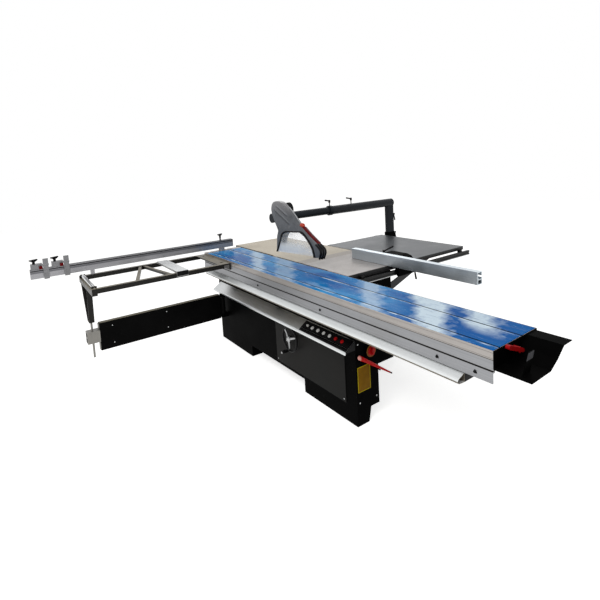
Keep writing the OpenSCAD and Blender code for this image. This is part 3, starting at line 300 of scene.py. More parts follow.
def black_and_bright(tree, dull, bright, dark, low, high, groove=0.0):
    """Extrusion that is painted or shadowed dark above a height, and bright with die lines below it. A
    groove, where it has one, runs so far under that height as a dark line of painted shadow, with a
    paler lip below."""
    z = coordinate(tree, 2)
    lines = die_lines(tree, 1.5, 600, "X")
    colour = blend(tree, dull, bright, lines, 0.3, 0.7)
    colour = blend(tree, colour, dark, z, low, high)
    if groove:
        # Painted shadow: the groove's dark line
        line = stripe(tree, z, high - groove, 3.5 * MM, 2.5 * MM)
        lip = stripe(tree, z, high - groove - 14 * MM, 5 * MM, 5 * MM)
        colour = blend(tree, blend(tree, colour, "#1F1F21", line), "#67676B", lip)
    metal = add_node(tree, "ShaderNodeMapRange", {0: z, 1: low, 2: high, 3: 0.9, 4: 0.3})
    smear = fractal(tree, 5.0, 4.0, 0.6)
    close_material(tree, colour, (smear, 0.3, 0.42), (lines, 0.05 * MM, 0.5), metal, 0.3)


def painted_reflection_bands(tree, x, y):
    """Painted reflections on the film, as one factor: milky clouds of 200 x 450 mm and bright bands of
    reflected light. The bands fan out from the camera's place beside the table: along a ray from it the
    ratio of the distance ahead to that aside stays the same, and their edges wander over 110 mm."""
    cloud = fractal(tree, (5.0, 2.2, 1.0), 5.0, 0.6, 0.6)
    painted_reflection = add_node(tree, "ShaderNodeMapRange", {0: cloud, 1: 0.6, 2: 0.8, 3: 0.0, 4: 0.5})
    wander = fractal(tree, (9.0, 9.0, 1.0), 3.0, 0.6)
    wander = add_node(tree, "ShaderNodeMapRange", {0: wander, 1: 0.3, 2: 0.7, 3: -0.03, 4: 0.03})
    aside, ahead = (add_node(tree, "ShaderNodeMath", {0: place, 1: start}, operation="SUBTRACT")
                    for place, start in zip((x, y), FAN_POINT))
    ratio = add_node(tree, "ShaderNodeMath", {0: ahead, 1: aside}, operation="DIVIDE")
    ratio = add_node(tree, "ShaderNodeMath", {0: ratio, 1: wander}, operation="ADD")
    for start, end, strength, from_x in PAINTED_REFLECTION_BANDS:
        band = add_node(tree, "ShaderNodeMapRange", {
            0: ratio, 1: start - 0.035, 2: start + 0.02, 3: 0.0, 4: strength})
        fall = add_node(tree, "ShaderNodeMapRange", {0: ratio, 1: end - 0.02, 2: end + 0.035, 3: 1.0, 4: 0.0})
        aslant = add_node(tree, "ShaderNodeMapRange", {0: x, 1: from_x, 2: from_x + 0.09})
        for limit in (fall, aslant):
            band = add_node(tree, "ShaderNodeMath", {0: band, 1: limit}, operation="MULTIPLY")
        painted_reflection = add_node(tree, "ShaderNodeMath", {0: painted_reflection, 1: band}, operation="MAXIMUM")
    return painted_reflection


def protective_film(tree):
    """Blue polyethylene film, glossy and loose: deep blue, with milky patches and bright bands of painted
    reflection, and a lighter azure, partly painted sheen, away from the near end. Creases run along the
    table, 60 mm apart and 300 mm long, with ripples of 14 x 70 mm between them that carry painted
    highlights and painted shade, and painted glints of 17 x 110 mm on the lips beside its slots, with a
    dark line of painted shade down each slot."""
    settings = bpy.context.scene.table_saw.film
    x, y = coordinate(tree, 0), coordinate(tree, 1)
    crease = add_node(tree, "ShaderNodeTexVoronoi", {
        "Vector": object_place(tree, (16.0, 3.2, 1.0)), "Scale": 1.0, "Randomness": 1.0},
        feature="DISTANCE_TO_EDGE")
    ridge = add_node(tree, "ShaderNodeMapRange", {0: crease, 1: 0.0, 2: 0.035, 3: 1.0, 4: 0.0})
    ripple = fractal(tree, (70.0, 14.0, 1.0), 4.0, 0.65, 0.8)
    # A lighter azure in wide drifting patches, partly the film's blotchy tone and partly painted sheen, held
    # back at the near end
    drift = fractal(tree, (3.0, 1.1, 1.0), 4.0, 0.6, 0.5)
    drift = add_node(tree, "ShaderNodeMapRange", {0: drift, 1: 0.38, 2: 0.58, 3: 0.1, 4: 0.95})
    reach = add_node(tree, "ShaderNodeMapRange", {0: y, 1: -1.75, 2: -1.0, 3: 0.2, 4: 1.0})
    reach = add_node(tree, "ShaderNodeMath", {0: drift, 1: reach}, operation="MULTIPLY")
    colour = blend(tree, (*settings.deep, 1.0), "#1E97D8", reach)
    # Painted reflection: milky patches and bright bands of reflected light
    colour = blend(tree, colour, (*settings.pale, 1.0), painted_reflection_bands(tree, x, y))
    # Painted highlights on the ripples' crests and painted shade in their troughs
    colour = blend(tree, colour, "#CDE8FA", ripple, 0.58, 0.8, 0.45)
    colour = blend(tree, colour, "#0A5596", ripple, 0.46, 0.2, 0.6)
    # Painted glints on the lips beside each slot, and painted shade as a dark line down the slot
    glints = fractal(tree, (60.0, 9.0, 1.0), 3.0, 0.6)
    glints = add_node(tree, "ShaderNodeMapRange", {0: glints, 1: 0.45, 2: 0.6, 3: 0.0, 4: 0.9})
    for slot_x in SLOT_LINES:
        lip = stripe(tree, x, slot_x - 11 * MM, 3 * MM, 4 * MM)
        lip = add_node(tree, "ShaderNodeMath", {0: lip, 1: glints}, operation="MULTIPLY")
        colour = blend(tree, colour, "#E4F3FC", lip)
        colour = blend(tree, colour, "#0B2036", stripe(tree, x, slot_x, 3.2 * MM, 2.5 * MM))
    height = add_node(tree, "ShaderNodeMath", {0: ripple, 1: 0.4, 2: ridge}, operation="MULTIPLY_ADD")
    close_material(tree, colour, (ripple, 0.08, 0.2), (height, 0.9 * MM, 0.6), specular=0.015)


def moulded_plastic(tree, base, light, roughness, specular=0.35, coat=0.0):
    """Injection moulded ABS or nylon: a spark eroded grain, drawn at 0.9 mm to show, where the real one
    is about 0.2 mm, and soft mottling of 70 mm."""
    grains = fractal(tree, 1 / (0.9 * MM), 2.0)
    mottle = fractal(tree, 14.0, 4.0, 0.6)
    colour = blend(tree, base, light, mottle, 0.3, 0.7)
    close_material(tree, colour, (mottle, roughness - 0.04, roughness + 0.06), (grains, 0.03 * MM, 0.5),
                   specular=specular, coat=coat)


def push_stick_plastic(tree):
    """Red moulded push stick: its wide end is made pale by a painted highlight, and it goes black towards the
    tip.
    """
    low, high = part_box("push_stick")
    x = coordinate(tree, 0)
    mottle = fractal(tree, 30.0, 4.0, 0.6)
    colour = blend(tree, "#B20609", "#CC0C0E", mottle, 0.3, 0.7)
    # Painted highlight on the wide end
    colour = blend(tree, colour, "#F0B4A8", x, low.x + 20 * MM, low.x + 8 * MM, 0.8)
    colour = blend(tree, colour, "#160605", x, high.x - 32 * MM, high.x - 18 * MM)
    close_material(tree, colour, (mottle, 0.32, 0.42), specular=0.08)


def guard_moulding(tree):
    """Moulded grey shell of the guard: the same grain and mottling, a crest made paler towards its top by
    painted light, and folds with a painted highlight on the ridge and painted shade on their inner side."""
    grey = bpy.context.scene.table_saw.guard.grey
    place = object_place(tree)
    mottle = fractal(tree, (14.0, 9.0, 9.0), 4.0, 0.6, 0.6)
    colour = blend(tree, "#4B4E52", (*grey, 1.0), mottle, 0.3, 0.7)
    # Painted light: the crest grows paler towards its top
    colour = blend(tree, colour, "#8A888A", coordinate(tree, 2), TABLE_TOP + 0.40, TABLE_TOP + 0.51, 0.75)
    for start, end, wide, _ in FOLDS:
        way = np.array(end) - np.array(start)
        length = float(np.linalg.norm(way))
        way = way / length
        away = add_node(tree, "ShaderNodeVectorMath", {0: place, 1: (0.0, *start)}, operation="SUBTRACT")
        square = (-way[1], way[0])
        along, below = (add_node(tree, "ShaderNodeVectorMath", {0: away, 1: (0.0, *direction)}, "Value",
                                 operation="DOT_PRODUCT") for direction in (way, square))
        inside = stripe(tree, along, length / 2, length * 0.3, length * 0.22)
        # Painted highlight along each fold's ridge, and painted shade on its inner side
        for centre, half, soft, strength, code in ((-10 * MM, 3 * MM, 10 * MM, 0.4, "#9A9CA0"),
                                                   (3 * MM, 2 * MM, wide * 0.6, 0.8, "#1E2024")):
            band = stripe(tree, below, centre, half, soft)
            band = add_node(tree, "ShaderNodeMath", {0: band, 1: inside}, operation="MULTIPLY")
            colour = blend(tree, colour, code, band, share=strength)
    close_material(tree, colour, (mottle, 0.36, 0.46), (fractal(tree, 1 / (0.9 * MM), 2.0), 0.03 * MM, 0.5),
                   specular=0.35)


def clear_sheet(tree):
    """Clear polycarbonate window: nearly colourless, with the faint dust of a used guard and a milky
    lower rear corner, where chips have scoured it."""
    dust_and_highlight = fractal(tree, 6.0, 3.0, 0.55, 0.4)
    dust_and_highlight = add_node(tree, "ShaderNodeMapRange", {0: dust_and_highlight, 1: 0.4, 2: 0.7, 3: 0.05, 4: 0.22})
    low = add_node(tree, "ShaderNodeMapRange", {
        0: coordinate(tree, 2), 1: TABLE_TOP + 0.17, 2: TABLE_TOP + 0.13, 3: 0.05, 4: 0.6})
    rear = add_node(tree, "ShaderNodeMapRange", {0: coordinate(tree, 1), 1: -0.16, 2: 0.06, 3: 0.35, 4: 1.0})
    haze = add_node(tree, "ShaderNodeMath", {0: low, 1: rear, 2: dust_and_highlight}, operation="MULTIPLY_ADD")
    shader = add_node(tree, "ShaderNodeBsdfPrincipled", {
        "Base Color": rgba("#FBFDFE"), "Roughness": 0.12, "IOR": 1.58, "Alpha": haze})
    add_node(tree, "ShaderNodeOutputMaterial", {"Surface": shader})


def seen_white(tree, kinds):
    """1 where the camera looks straight at it, or through one of the other kinds of ray."""
    seen = add_node(tree, "ShaderNodeLightPath", output="Is Camera Ray")
    for kind in kinds:
        ray = add_node(tree, "ShaderNodeLightPath", output=kind)
        seen = add_node(tree, "ShaderNodeMath", {0: seen, 1: ray}, operation="MAXIMUM")
    return seen


def studio_floor(tree):
    """Matt white floor that the camera and reflections see as white, with the saw's shadow kept."""
    colour = bpy.context.scene.table_saw.stage.floor
    colour = blend(tree, (*colour, 1.0), (1, 1, 1, 1), fractal(tree, 30.0), 0.3, 0.7, 0.04)
    matt = add_node(tree, "ShaderNodeBsdfDiffuse", {"Color": colour})
    glow = add_node(tree, "ShaderNodeEmission", {"Color": (1, 1, 1, 1), "Strength": 0.68})
    bright = add_node(tree, "ShaderNodeAddShader", {0: matt, 1: glow})
    seen = seen_white(tree, ["Is Glossy Ray"])
    mixed = add_node(tree, "ShaderNodeMixShader", {0: seen, 1: matt, 2: bright})
    add_node(tree, "ShaderNodeOutputMaterial", {"Surface": mixed})


# The camera's place on the floor plan, in metres, from which the film's painted reflection bands fan out
FAN_POINT = (-2.006, -3.098)
# Painted reflection bands on the film, each: the ratio ahead over aside where it starts and ends, its
# strength, and the X it fades in from
PAINTED_REFLECTION_BANDS = ((0.77, 0.865, 0.95, -0.5), (0.615, 0.68, 0.9, -0.26), (1.03, 1.12, 0.5, -0.5),
               (1.575, 1.7, 0.4, -0.5), (1.84, 1.93, 0.6, -0.5))
# Middles of the table's two T-slots along X
SLOT_LINES = (-0.322, -0.135)
# Folds of the guard's sides: start and end as (y, z) in metres, width and depth
FOLDS = (((0.275, 1.352), (0.005, 1.222), 0.034, 13.0 * MM),
         ((0.240, 1.384), (0.035, 1.292), 0.016, 6.0 * MM))

MAKERS = {
    # Black coat on the base's sheet: so dark that folds show only as thin glints
    "black_powder_coat": (powder_coat, "#020202", "#060606", 0.5, 0.01),
    # Cover plate: a warm dark grey that sets it off from the black sheet round it
    "grey_powder_coat": (powder_coat, "#1C1C1B", "#242322", 0.5, 0.05),
    # Overhead tubes: blue black satin with a clear highlight along them
    "graphite_powder_coat": (powder_coat, "#171B20", "#22272C", 0.42, 0.1),
    # Outrigger's tubes: glossier enamel, whose upper edges carry a painted highlight that reads as pale lines
    "black_enamel": (powder_coat, "#0B0A08", "#1A1814", 0.35, 0.2, 1.6, "#8F8878"),
    # Swing arm: flat black sides under a pale top edge, a painted highlight
    "black_arm_coat": (powder_coat, "#040404", "#0B0B0B", 0.45, 0.03, 1.6, "#8A8473"),
    # Nose of the beam's cover: a painted highlight as a white line over a dull tan lower face in painted
    # shade
    "nose_extrusion_painted_light": (painted_top_light, "#E4E8E9", "#F6F8F8", "#6F685D"),
    # Cross piece: the brightest bar of the outrigger from a painted highlight on top, with greyer sides in
    # painted shade
    "cross_profile_painted_light": (painted_top_light, "#DDE0E1", "#F2F4F4", "#A9A9A8"),
    # Table's side: mid grey metal, long fine lines and two dark ones, the lower one painted shade in a groove
    "anodised_table_extrusion": (table_extrusion,),
    # Crosscut fence: pale lower face, dark top, and a groove drawn as a dark line of painted shadow, with a
    # lip
    "anodised_fence_extrusion": (black_and_bright, "#8B8B90", "#A6A5A7", "#5C5C60", FENCE_TOP - 3 * MM,
                                 FENCE_TOP - 2 * MM, 9 * MM),
    # Stops: grey milled aluminium, a little duller than the fence
    "milled_stop_aluminium": (drawn_metal, "#6A6A6C", "#8A8A8C", 0.36, "X", 0.7, 900.0, 0.7),
    # Console's rim: plain bright aluminium that frames the black switches
    "bright_extrusion": (drawn_metal, "#BDC0C2", "#E6E8E8", 0.32, "Y"),
    # Inner arm: zinc that has gone dull and warm, with short upright lines
    "zinc_plated_steel": (drawn_metal, "#6F6D69", "#8D8B86", 0.4, "Z", 1.2, 80.0),
    # Rip fence: pale bluish aluminium with lines along it
    "rip_fence_extrusion": (drawn_metal, "#C6D0D7", "#E0E7EC", 0.34, "Y"),
    # Extension table: dark brushed steel with cloudy smears
    "brushed_steel_sheet": (brushed_top,),
    # Main table: ground grey iron in front, tan where oil lies on it, with a browner band of painted shade
    # before the tan
    "ground_iron_table": (ground_table, ("#8F8A88", "#A8A4A2"), ("#9C917D", "#AEA491"), 0.013, "#7D746A"),
    # Rear table: tan all over from the same oil
    "oiled_rear_table": (ground_table, ("#9C917D", "#AEA491"), ("#A09580", "#B3A995"), 0.2, "#9C917D"),
    # Fence rail: black, with a painted highlight as a bright strip along its foot
    "black_rail_with_painted_highlight": (black_and_bright, "#8E8F90", "#C4C5C5", "#0B0B0C", RAIL_LOW + 4 * MM,
                                     RAIL_LOW + 6 * MM),
    # Turned parts: short fine lines that catch the light in streaks
    "turned_steel": (drawn_metal, "#8F9091", "#BDBEBE", 0.28, "X", 0.5, 40.0),
    # End roller: the only mirror-like metal
    "polished_chrome": (drawn_metal, "#B4B6B7", "#DEE0E0", 0.12, "Y", 0.8, 300.0),
    # Castings inside: blue grey paint over the 3 mm grain of cast iron
    "painted_casting": (powder_coat, "#2C3034", "#3B4045", 0.55, 0.25, 3.0),
    # Knobs, levers and caps: black nylon, softly shining
    "black_nylon": (moulded_plastic, "#060607", "#0F0F10", 0.4, 0.1),
    # White push caps: warm white with a thin clear gloss
    "white_push_cap": (moulded_plastic, "#D6D5D1", "#EBEAE7", 0.3, 0.35, 0.2),
    # Red push caps and main switch: strong signal red
    "red_moulding": (moulded_plastic, "#A30B0F", "#BE1216", 0.34, 0.12),
    # Table lock: the same plastic, darker from handling
    "dark_red_moulding": (moulded_plastic, "#8E080C", "#A80E12", 0.35, 0.12),
    # Guard's shell: mid grey, paler on the crest from painted light, with painted highlight and shade on two
    # folds
    "grey_guard_moulding": (guard_moulding,),
    # Strip on the guard, fence cap and stops' pads: deep wine red
    "dark_red_strip": (moulded_plastic, "#560408", "#6C080D", 0.34, 0.05),
    # Cap over the strip: a small warm spot
    "orange_red_cap": (moulded_plastic, "#B4351F", "#CE4C33", 0.38),
    # Bare plate on the end face: a plain yellow frame
    "bare_yellow_plate": (moulded_plastic, "#A08F0C", "#B5A214", 0.5, 0.05),
    # Its field: plain ochre brown
    "bare_ochre_field": (moulded_plastic, "#6E4E0E", "#805C12", 0.55, 0.05),
    # Ring round the main switch: brown ochre, seen only as a thin rim
    "ochre_switch_rim": (moulded_plastic, "#7A4314", "#8F531B", 0.4, 0.1),
    # Beads on the guard's slope: a pale line, a painted highlight that draws its edge
    "slope_edge_painted_highlight": (moulded_plastic, "#A9ABAD", "#C9CBCC", 0.4),
    # Push stick: red with a painted highlight on its wide end and a black tip
    "red_push_stick": (push_stick_plastic,),
    # Tray's upright: black coat worn to grey
    "worn_grey_coat": (powder_coat, "#3C3C3F", "#4C4C50", 0.5, 0.1),
    # Motor: blue grey enamel
    "motor_enamel": (powder_coat, "#2E4353", "#3A5163", 0.4),
    # Drive belt: dead black rubber
    "belt_rubber": (moulded_plastic, "#0B0B0B", "#151515", 0.7),
    # Window: almost nothing but a haze low down, through which the blade shows
    "clear_polycarbonate": (clear_sheet,),
    # Film: wet blue gloss broken by white patches of painted reflection
    "blue_protective_film": (protective_film,),
    # Floor: paper white with a soft shadow
    "matt_white_floor": (studio_floor,),
}
FINISHES = {}


def finish(name):
    """Makes each finish once, as a material of that name, and hands it out."""
    if name not in FINISHES:
        FINISHES[name] = bpy.data.materials.new(name)
        FINISHES[name].use_nodes = True
        tree = FINISHES[name].node_tree
        tree.nodes.clear()
        maker, *values = MAKERS[name]
        maker(tree, *values)
    return FINISHES[name]


# Surfaces

def sheet_faces(rows, columns, wrap_rows=False, wrap_columns=False):
    """Quads between neighbours of a grid, optionally closed on itself either way."""
    i = np.arange(rows if wrap_rows else rows - 1)
    j = np.arange(columns if wrap_columns else columns - 1)
    i, j = np.meshgrid(i, j, indexing="ij")
    i2, j2 = (i + 1) % rows, (j + 1) % columns
    quads = np.stack([i * columns + j, i2 * columns + j, i2 * columns + j2, i * columns + j2], -1)
    return quads.reshape(-1, 4).tolist()


def sheet(points, wrap_rows=False, wrap_columns=False):
    """A grid of points, rows by columns by 3, as vertices and quads."""
    rows, columns = points.shape[:2]
    return points.reshape(-1, 3), sheet_faces(rows, columns, wrap_rows, wrap_columns)


def turned(profile, sides=40):
    """A profile of (radius, height) points turned about Z: x = r cos a, y = r sin a, z = h."""
    r, h = np.array(profile, float).T
    a = np.linspace(0, 2 * np.pi, sides, endpoint=False)
    points = np.stack([r[:, None] * np.cos(a), r[:, None] * np.sin(a), np.repeat(h[:, None], sides, 1)], -1)
    return sheet(points, wrap_columns=True)


def tube(path, radius, sides=16, flat=1.0):
    """A round bar along a path, closed at both ends: each ring lies square to the path, as its radius
    times (side cos a + up sin a), where flat under 1 presses it thin."""
    path = np.asarray(path, float)
    radius = np.broadcast_to(np.asarray(radius, float), len(path))
    way = np.gradient(path, axis=0)
    way /= np.linalg.norm(way, axis=1, keepdims=True)
    hint = np.where(np.abs(way[:, 2:3]) > 0.9, [[1.0, 0.0, 0.0]], [[0.0, 0.0, 1.0]])
    hint = np.broadcast_to(hint[len(hint) // 2], path.shape)
    side = np.cross(way, hint)
    side /= np.linalg.norm(side, axis=1, keepdims=True)
    up = np.cross(side, way)
    a = np.linspace(0, 2 * np.pi, sides, endpoint=False)
    ring = (side[:, None] * np.cos(a)[None, :, None] + up[:, None] * (np.sin(a) * flat)[None, :, None])
    points = path[:, None] + ring * radius[:, None, None]
    ends = [np.repeat(path[:1, None], sides, 1), np.repeat(path[-1:, None], sides, 1)]
    return sheet(np.concatenate([ends[0], points, ends[1]]), wrap_columns=True)


def rounded_box(low, high, edge, steps=3):
    """A box with rounded edges: rings of a rounded square, which shrink by edge times (1 - cos b) at both
    ends of the height, while the height runs as edge times sin b."""
    low, high = np.array(low, float), np.array(high, float)
    edge = min(edge, *(0.49 * (high - low)))
    a = np.linspace(0, np.pi / 2, steps + 1)
    around = np.concatenate([a + k * np.pi / 2 for k in range(4)])
    arc = np.stack([np.cos(around), np.sin(around)], 1)
    corner = np.repeat(np.array([[1, 1], [-1, 1], [-1, -1], [1, -1]], float), steps + 1, 0)
    half = (high - low) / 2
    mid = (high + low) / 2
    b = np.concatenate([np.linspace(-np.pi / 2, 0, steps + 1), np.linspace(0, np.pi / 2, steps + 1)])
    z = np.where(b < 1e-9, -half[2] + edge, half[2] - edge) + edge * np.sin(b)
    z[steps + 1] = half[2] - edge
    shrink = edge * np.cos(b)
    xy = corner[None] * (half[:2] - edge) + arc[None] * shrink[:, None, None]
    points = np.concatenate([xy, np.repeat(z[:, None, None], xy.shape[1], 1)], -1) + mid
    caps = [np.repeat((mid + [0, 0, s * half[2]])[None, None], xy.shape[1], 1) for s in (-1, 1)]
    return sheet(np.concatenate([caps[0], points, caps[1]]), wrap_columns=True)


def slab(outline, low, high):
    """A flat plate: an outline of (x, z) points between two places along Y, closed by fans to its middle."""
    outline = np.array(outline, float)
    middle = np.repeat(outline.mean(0, keepdims=True), len(outline), 0)
    places = ((middle, low), (outline, low), (outline, high), (middle, high))
    return sheet(np.stack([np.insert(ring, 1, y, 1) for ring, y in places]), wrap_columns=True)


def stood(part, origin, way=(0, 0, 1), spin=0.0):
    """Turns a part's own Z to a direction, and puts its origin at a place."""
    points, faces = part
    turn = Vector(way).to_track_quat("Z", "Y").to_matrix().to_4x4() @ Euler((0, 0, spin)).to_matrix().to_4x4()
    turn = np.array(turn)[:3, :3]
    return np.asarray(points) @ turn.T + np.array(origin, float), faces


def build(name, parts, finish_name, body, sharp=35.0, wall=0.0, side=-1.0):
    """Joins parts into one object at the origin, closes its seams, points its faces out, and rides it.
    Where a wall is given, the surface is thickened by it, inwards or with side 1 outwards."""
    points, faces, start = [], [], 0
    for p, f in parts:
        points.append(np.asarray(p))
        faces += [[i + start for i in face] for face in f]
        start += len(p)
    mesh = bpy.data.meshes.new(name)
    mesh.from_pydata(np.concatenate(points).tolist(), [], faces)
    work = bmesh.new()
    work.from_mesh(mesh)
    bmesh.ops.remove_doubles(work, verts=work.verts, dist=1e-6)
    bmesh.ops.dissolve_degenerate(work, edges=work.edges, dist=1e-7)
    bmesh.ops.recalc_face_normals(work, faces=work.faces)
    work.to_mesh(mesh)
    work.free()
    mesh.shade_smooth()
    mesh.set_sharp_from_angle(angle=math.radians(sharp))
    piece = bpy.data.objects.new(name, mesh)
    bpy.context.scene.collection.objects.link(piece)
    mesh.materials.append(finish(finish_name))
    if wall:
        thick = piece.modifiers.new("Wall", "SOLIDIFY")
        thick.thickness, thick.offset = wall, side
    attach(piece, body)
    return piece


def smooth(x, a, b):
    """0 below a, 1 above b, and 3 t^2 - 2 t^3 between them, where t goes evenly from 0 to 1."""
    t = np.clip((np.asarray(x) - a) / (b - a), 0, 1)
    return t * t * (3 - 2 * t)


# Operators

FINISHED_NODES = {
    "black_powder_coat": ("machine_base", "base_feet", "handwheel", "end_tray", "fence_carriage",
                          "arm_support"),
    "grey_powder_coat": ("front_panel",),
    "graphite_powder_coat": ("upper_post", "boom_tube"),
    "bright_extrusion": ("console_strip",),
    "black_nylon": ("control_panel", "wheel_handle", "stop_knob_1", "stop_knob_2", "fence_knob",
                    "fence_clamp_lever", "rail_lever", "boom_lever_1", "boom_lever_2", "post_lever_1",
                    "post_lever_2"),
    "white_push_cap": ("white_button_1", "white_button_2", "white_button_3", "white_button_4",
                       "selector_switch"),
    "red_moulding": ("red_button_1", "red_button_2", "isolator_knob"),
    "dark_red_moulding": ("table_lock",),
    "red_push_stick": ("push_stick",),
    "nose_extrusion_painted_light": ("base_beam",),
    "anodised_table_extrusion": ("sliding_table",),
    "black_enamel": ("outrigger_frame",),
    "polished_chrome": ("outrigger_roller",),
    "cross_profile_painted_light": ("cross_profile",),
    "black_arm_coat": ("swing_arm",),
    "zinc_plated_steel": ("arm_extension",),
    "anodised_fence_extrusion": ("crosscut_fence", "fence_extension"),
    "milled_stop_aluminium": ("stop_carriage_1", "stop_carriage_2", "stop_flag_1", "stop_flag_2"),
    "ground_iron_table": ("main_table",),
    "oiled_rear_table": ("rear_table",),
    "brushed_steel_sheet": ("extension_table",),
    "black_rail_with_painted_highlight": ("fence_rail",),
    "rip_fence_extrusion": ("rip_fence",),
    "turned_steel": ("roller_trolley", "saw_arbor", "scoring_arbor", "motor_pulley"),
    "painted_casting": ("trunnion_arcs", "saw_cradle", "arbor_housing"),
    "motor_enamel": ("saw_motor",),
    "belt_rubber": ("drive_belt",),
    "grey_guard_moulding": ("guard_hood",),
    "clear_polycarbonate": ("guard_window",),
}
NODE_FINISH = {node: name for name, nodes in FINISHED_NODES.items() for node in nodes}
SOFT_EDGED = ("machine_base", "base_feet", "front_panel", "swing_arm", "outrigger_frame", "upper_post",
              "arm_support", "fence_carriage", "end_tray", "arm_extension", "control_panel")
FOLD_RADIUS = 1.6 * MM


class TABLESAW_OT_finishes(Operator):
    """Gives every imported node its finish, and folded sheet a small edge radius"""
    bl_idname = "tablesaw.finishes"
    bl_label = "Finish the packed nodes"

    def execute(self, context):
        for name, node in NODES.items():
            node.data.materials.clear()
            node.data.materials.append(finish(NODE_FINISH[name]))
        for name in SOFT_EDGED:
            weld = NODES[name].modifiers.new("Weld", "WELD")
            weld.merge_threshold = 1e-5
            edge = NODES[name].modifiers.new("Folded edge", "BEVEL")
            edge.width, edge.segments, edge.limit_method = FOLD_RADIUS, 2, "ANGLE"
            edge.angle_limit = math.radians(50)
        return {"FINISHED"}


# The film's waves: how many, the draw they come from, and about one turn in radians
WAVES = 14
WAVE_DRAW = 11
TURN = 6.28


class TABLESAW_OT_film(Operator):
    """Lays the protective film on the sliding table"""
    bl_idname = "tablesaw.film"
    bl_label = "Protective film"

    def execute(self, context):
        settings = context.scene.table_saw.film
        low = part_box("sliding_table")[0]
        # Grid: even lines from just inside the table's edges to the crosscut fence, with closer ones
        # on both sides of each slot
        near_slot = np.array([-12, -8, -6, -4, -2, 0, 2, 4, 6, 8, 12]) * MM
        x = np.unique(np.concatenate([np.linspace(low.x + 8 * MM, -2.5 * MM, 56),
                                      *[slot_x + near_slot for slot_x in SLOT_LINES]]))
        y = np.linspace(low.y + 1.5 * MM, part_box("crosscut_fence")[0].y - 12 * MM, 420)
        x, y = np.meshgrid(x, y, indexing="ij")
        rng = np.random.default_rng(WAVE_DRAW)
        # Height: trapped air as a sum of long soft waves, a dip over each T-slot with a lip beside it
        height = np.zeros_like(x)
        for _ in range(WAVES):
            angle = rng.normal(0.0, 0.5)
            wave = rng.uniform(30, 150) * MM
            phase = rng.uniform(0, TURN)
            along = x * np.cos(angle) + 0.3 * y * np.sin(angle) + 0.02 * np.sin(7 * y)
            height += np.sin(along * TURN / wave + phase)
        height = settings.lift * (0.35 + 0.12 * height)
        rim = np.minimum(np.minimum(x - x.min(), x.max() - x), np.minimum(y - y.min(), y.max() - y))
        height = np.maximum(height, 0.15 * MM) * smooth(rim, -2 * MM, 10 * MM)
        for slot_x in SLOT_LINES:
            for lip in (-8 * MM, 8 * MM):
                height += 0.5 * MM * np.exp(-((x - slot_x - lip) / (3 * MM)) ** 2)
            height -= (height + 0.9 * MM) * np.exp(-((x - slot_x) / (2.6 * MM)) ** 2)
        z = TABLE_TOP + 0.15 * MM + height
        build("protective_film", [sheet(np.stack([x, y, z], -1))], "blue_protective_film", "table",
              sharp=180, wall=settings.thickness, side=1.0)
        return {"FINISHED"}


LEFT = (-1, 0, 0)
FRONT = (0, -1, 0)
WHEEL_CENTRE = np.array([-0.304, -0.328, 0.400])
FIRST_ARM = math.radians(20)
GRIP_ANGLE = math.radians(190)


class TABLESAW_OT_handwheel(Operator):
    """Builds the tilt handwheel: black rim and three bright dished arms"""
    bl_idname = "tablesaw.handwheel"
    bl_label = "Handwheel"

    def execute(self, context):
        settings = context.scene.table_saw.wheel
        # Rim: a round section carried round the axis, r = R + t cos b, and depth = t sin b
        a = np.linspace(0, 2 * np.pi, 72, endpoint=False)[:, None]
        b = np.linspace(0, 2 * np.pi, 20, endpoint=False)[None]
        r = settings.rim_radius + settings.rim_thickness * np.cos(b)
        depth = settings.rim_thickness * np.sin(b) + 0 * a
        rim = sheet(np.stack([r * np.cos(a), r * np.sin(a), depth], -1), True, True)
        build("wheel_rim", [stood(rim, WHEEL_CENTRE, LEFT)], "black_nylon", "handwheel")
        # Arms: flattened bars that stand out by 12 mm (1 - s)^2 and taper as a sine, where s is 0 at the
        # hub and 1 at the rim
        arms = []
        for k in range(settings.arms):
            angle = FIRST_ARM + 2 * math.pi * k / settings.arms
            s = np.linspace(0, 1, 14)
            reach = 0.012 + s * (settings.rim_radius - 0.014)
            dish = 0.012 * (1 - s) ** 2
            path = np.stack([reach * math.cos(angle), reach * math.sin(angle), dish], 1)
            arm = tube(path, 0.011 - 0.004 * np.sin(s * np.pi / 2), 14, 0.55)
            arms.append(stood(arm, WHEEL_CENTRE, LEFT))
        hub = turned([(0, -0.012), (0.024, -0.012), (0.026, 0.0), (0.024, 0.016), (0.018, 0.02),
                      (0.015, 0.021), (0.013, 0.018), (0, 0.018)], 40)
        shaft = turned([(0, -0.15), (0.0115, -0.15), (0.0115, 0.0), (0, 0.0)], 24)
        arms += [stood(hub, WHEEL_CENTRE, LEFT), stood(shaft, WHEEL_CENTRE, LEFT)]
        grip = settings.rim_radius * np.array([0, -math.sin(GRIP_ANGLE), math.cos(GRIP_ANGLE)])
        stub = turned([(0, 0), (0.0045, 0), (0.0045, 0.068), (0.0085, 0.069), (0.0085, 0.071),
                       (0, 0.072)], 20)
        arms.append(stood(stub, WHEEL_CENTRE + grip, LEFT))
        hub_piece = build("wheel_arms", arms, "turned_steel", "handwheel")
        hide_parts("handwheel")
        return {"FINISHED"}


# Screws on the swing arm and on the end face as (x, z), and the skirt's bolts along Y
ARM_SCREWS = ((-1.319, 0.458), (-1.314, 0.307), (-0.861, 0.461), (-0.858, 0.314))
END_SCREWS = ((-0.09, 0.16), (-0.24, 0.16), (-0.09, 0.56), (-0.24, 0.56))
SKIRT_BOLTS = (-2.008, -1.799, -0.849, -0.006, 0.84)
SKIRT_BOLT_HEIGHT = 0.778


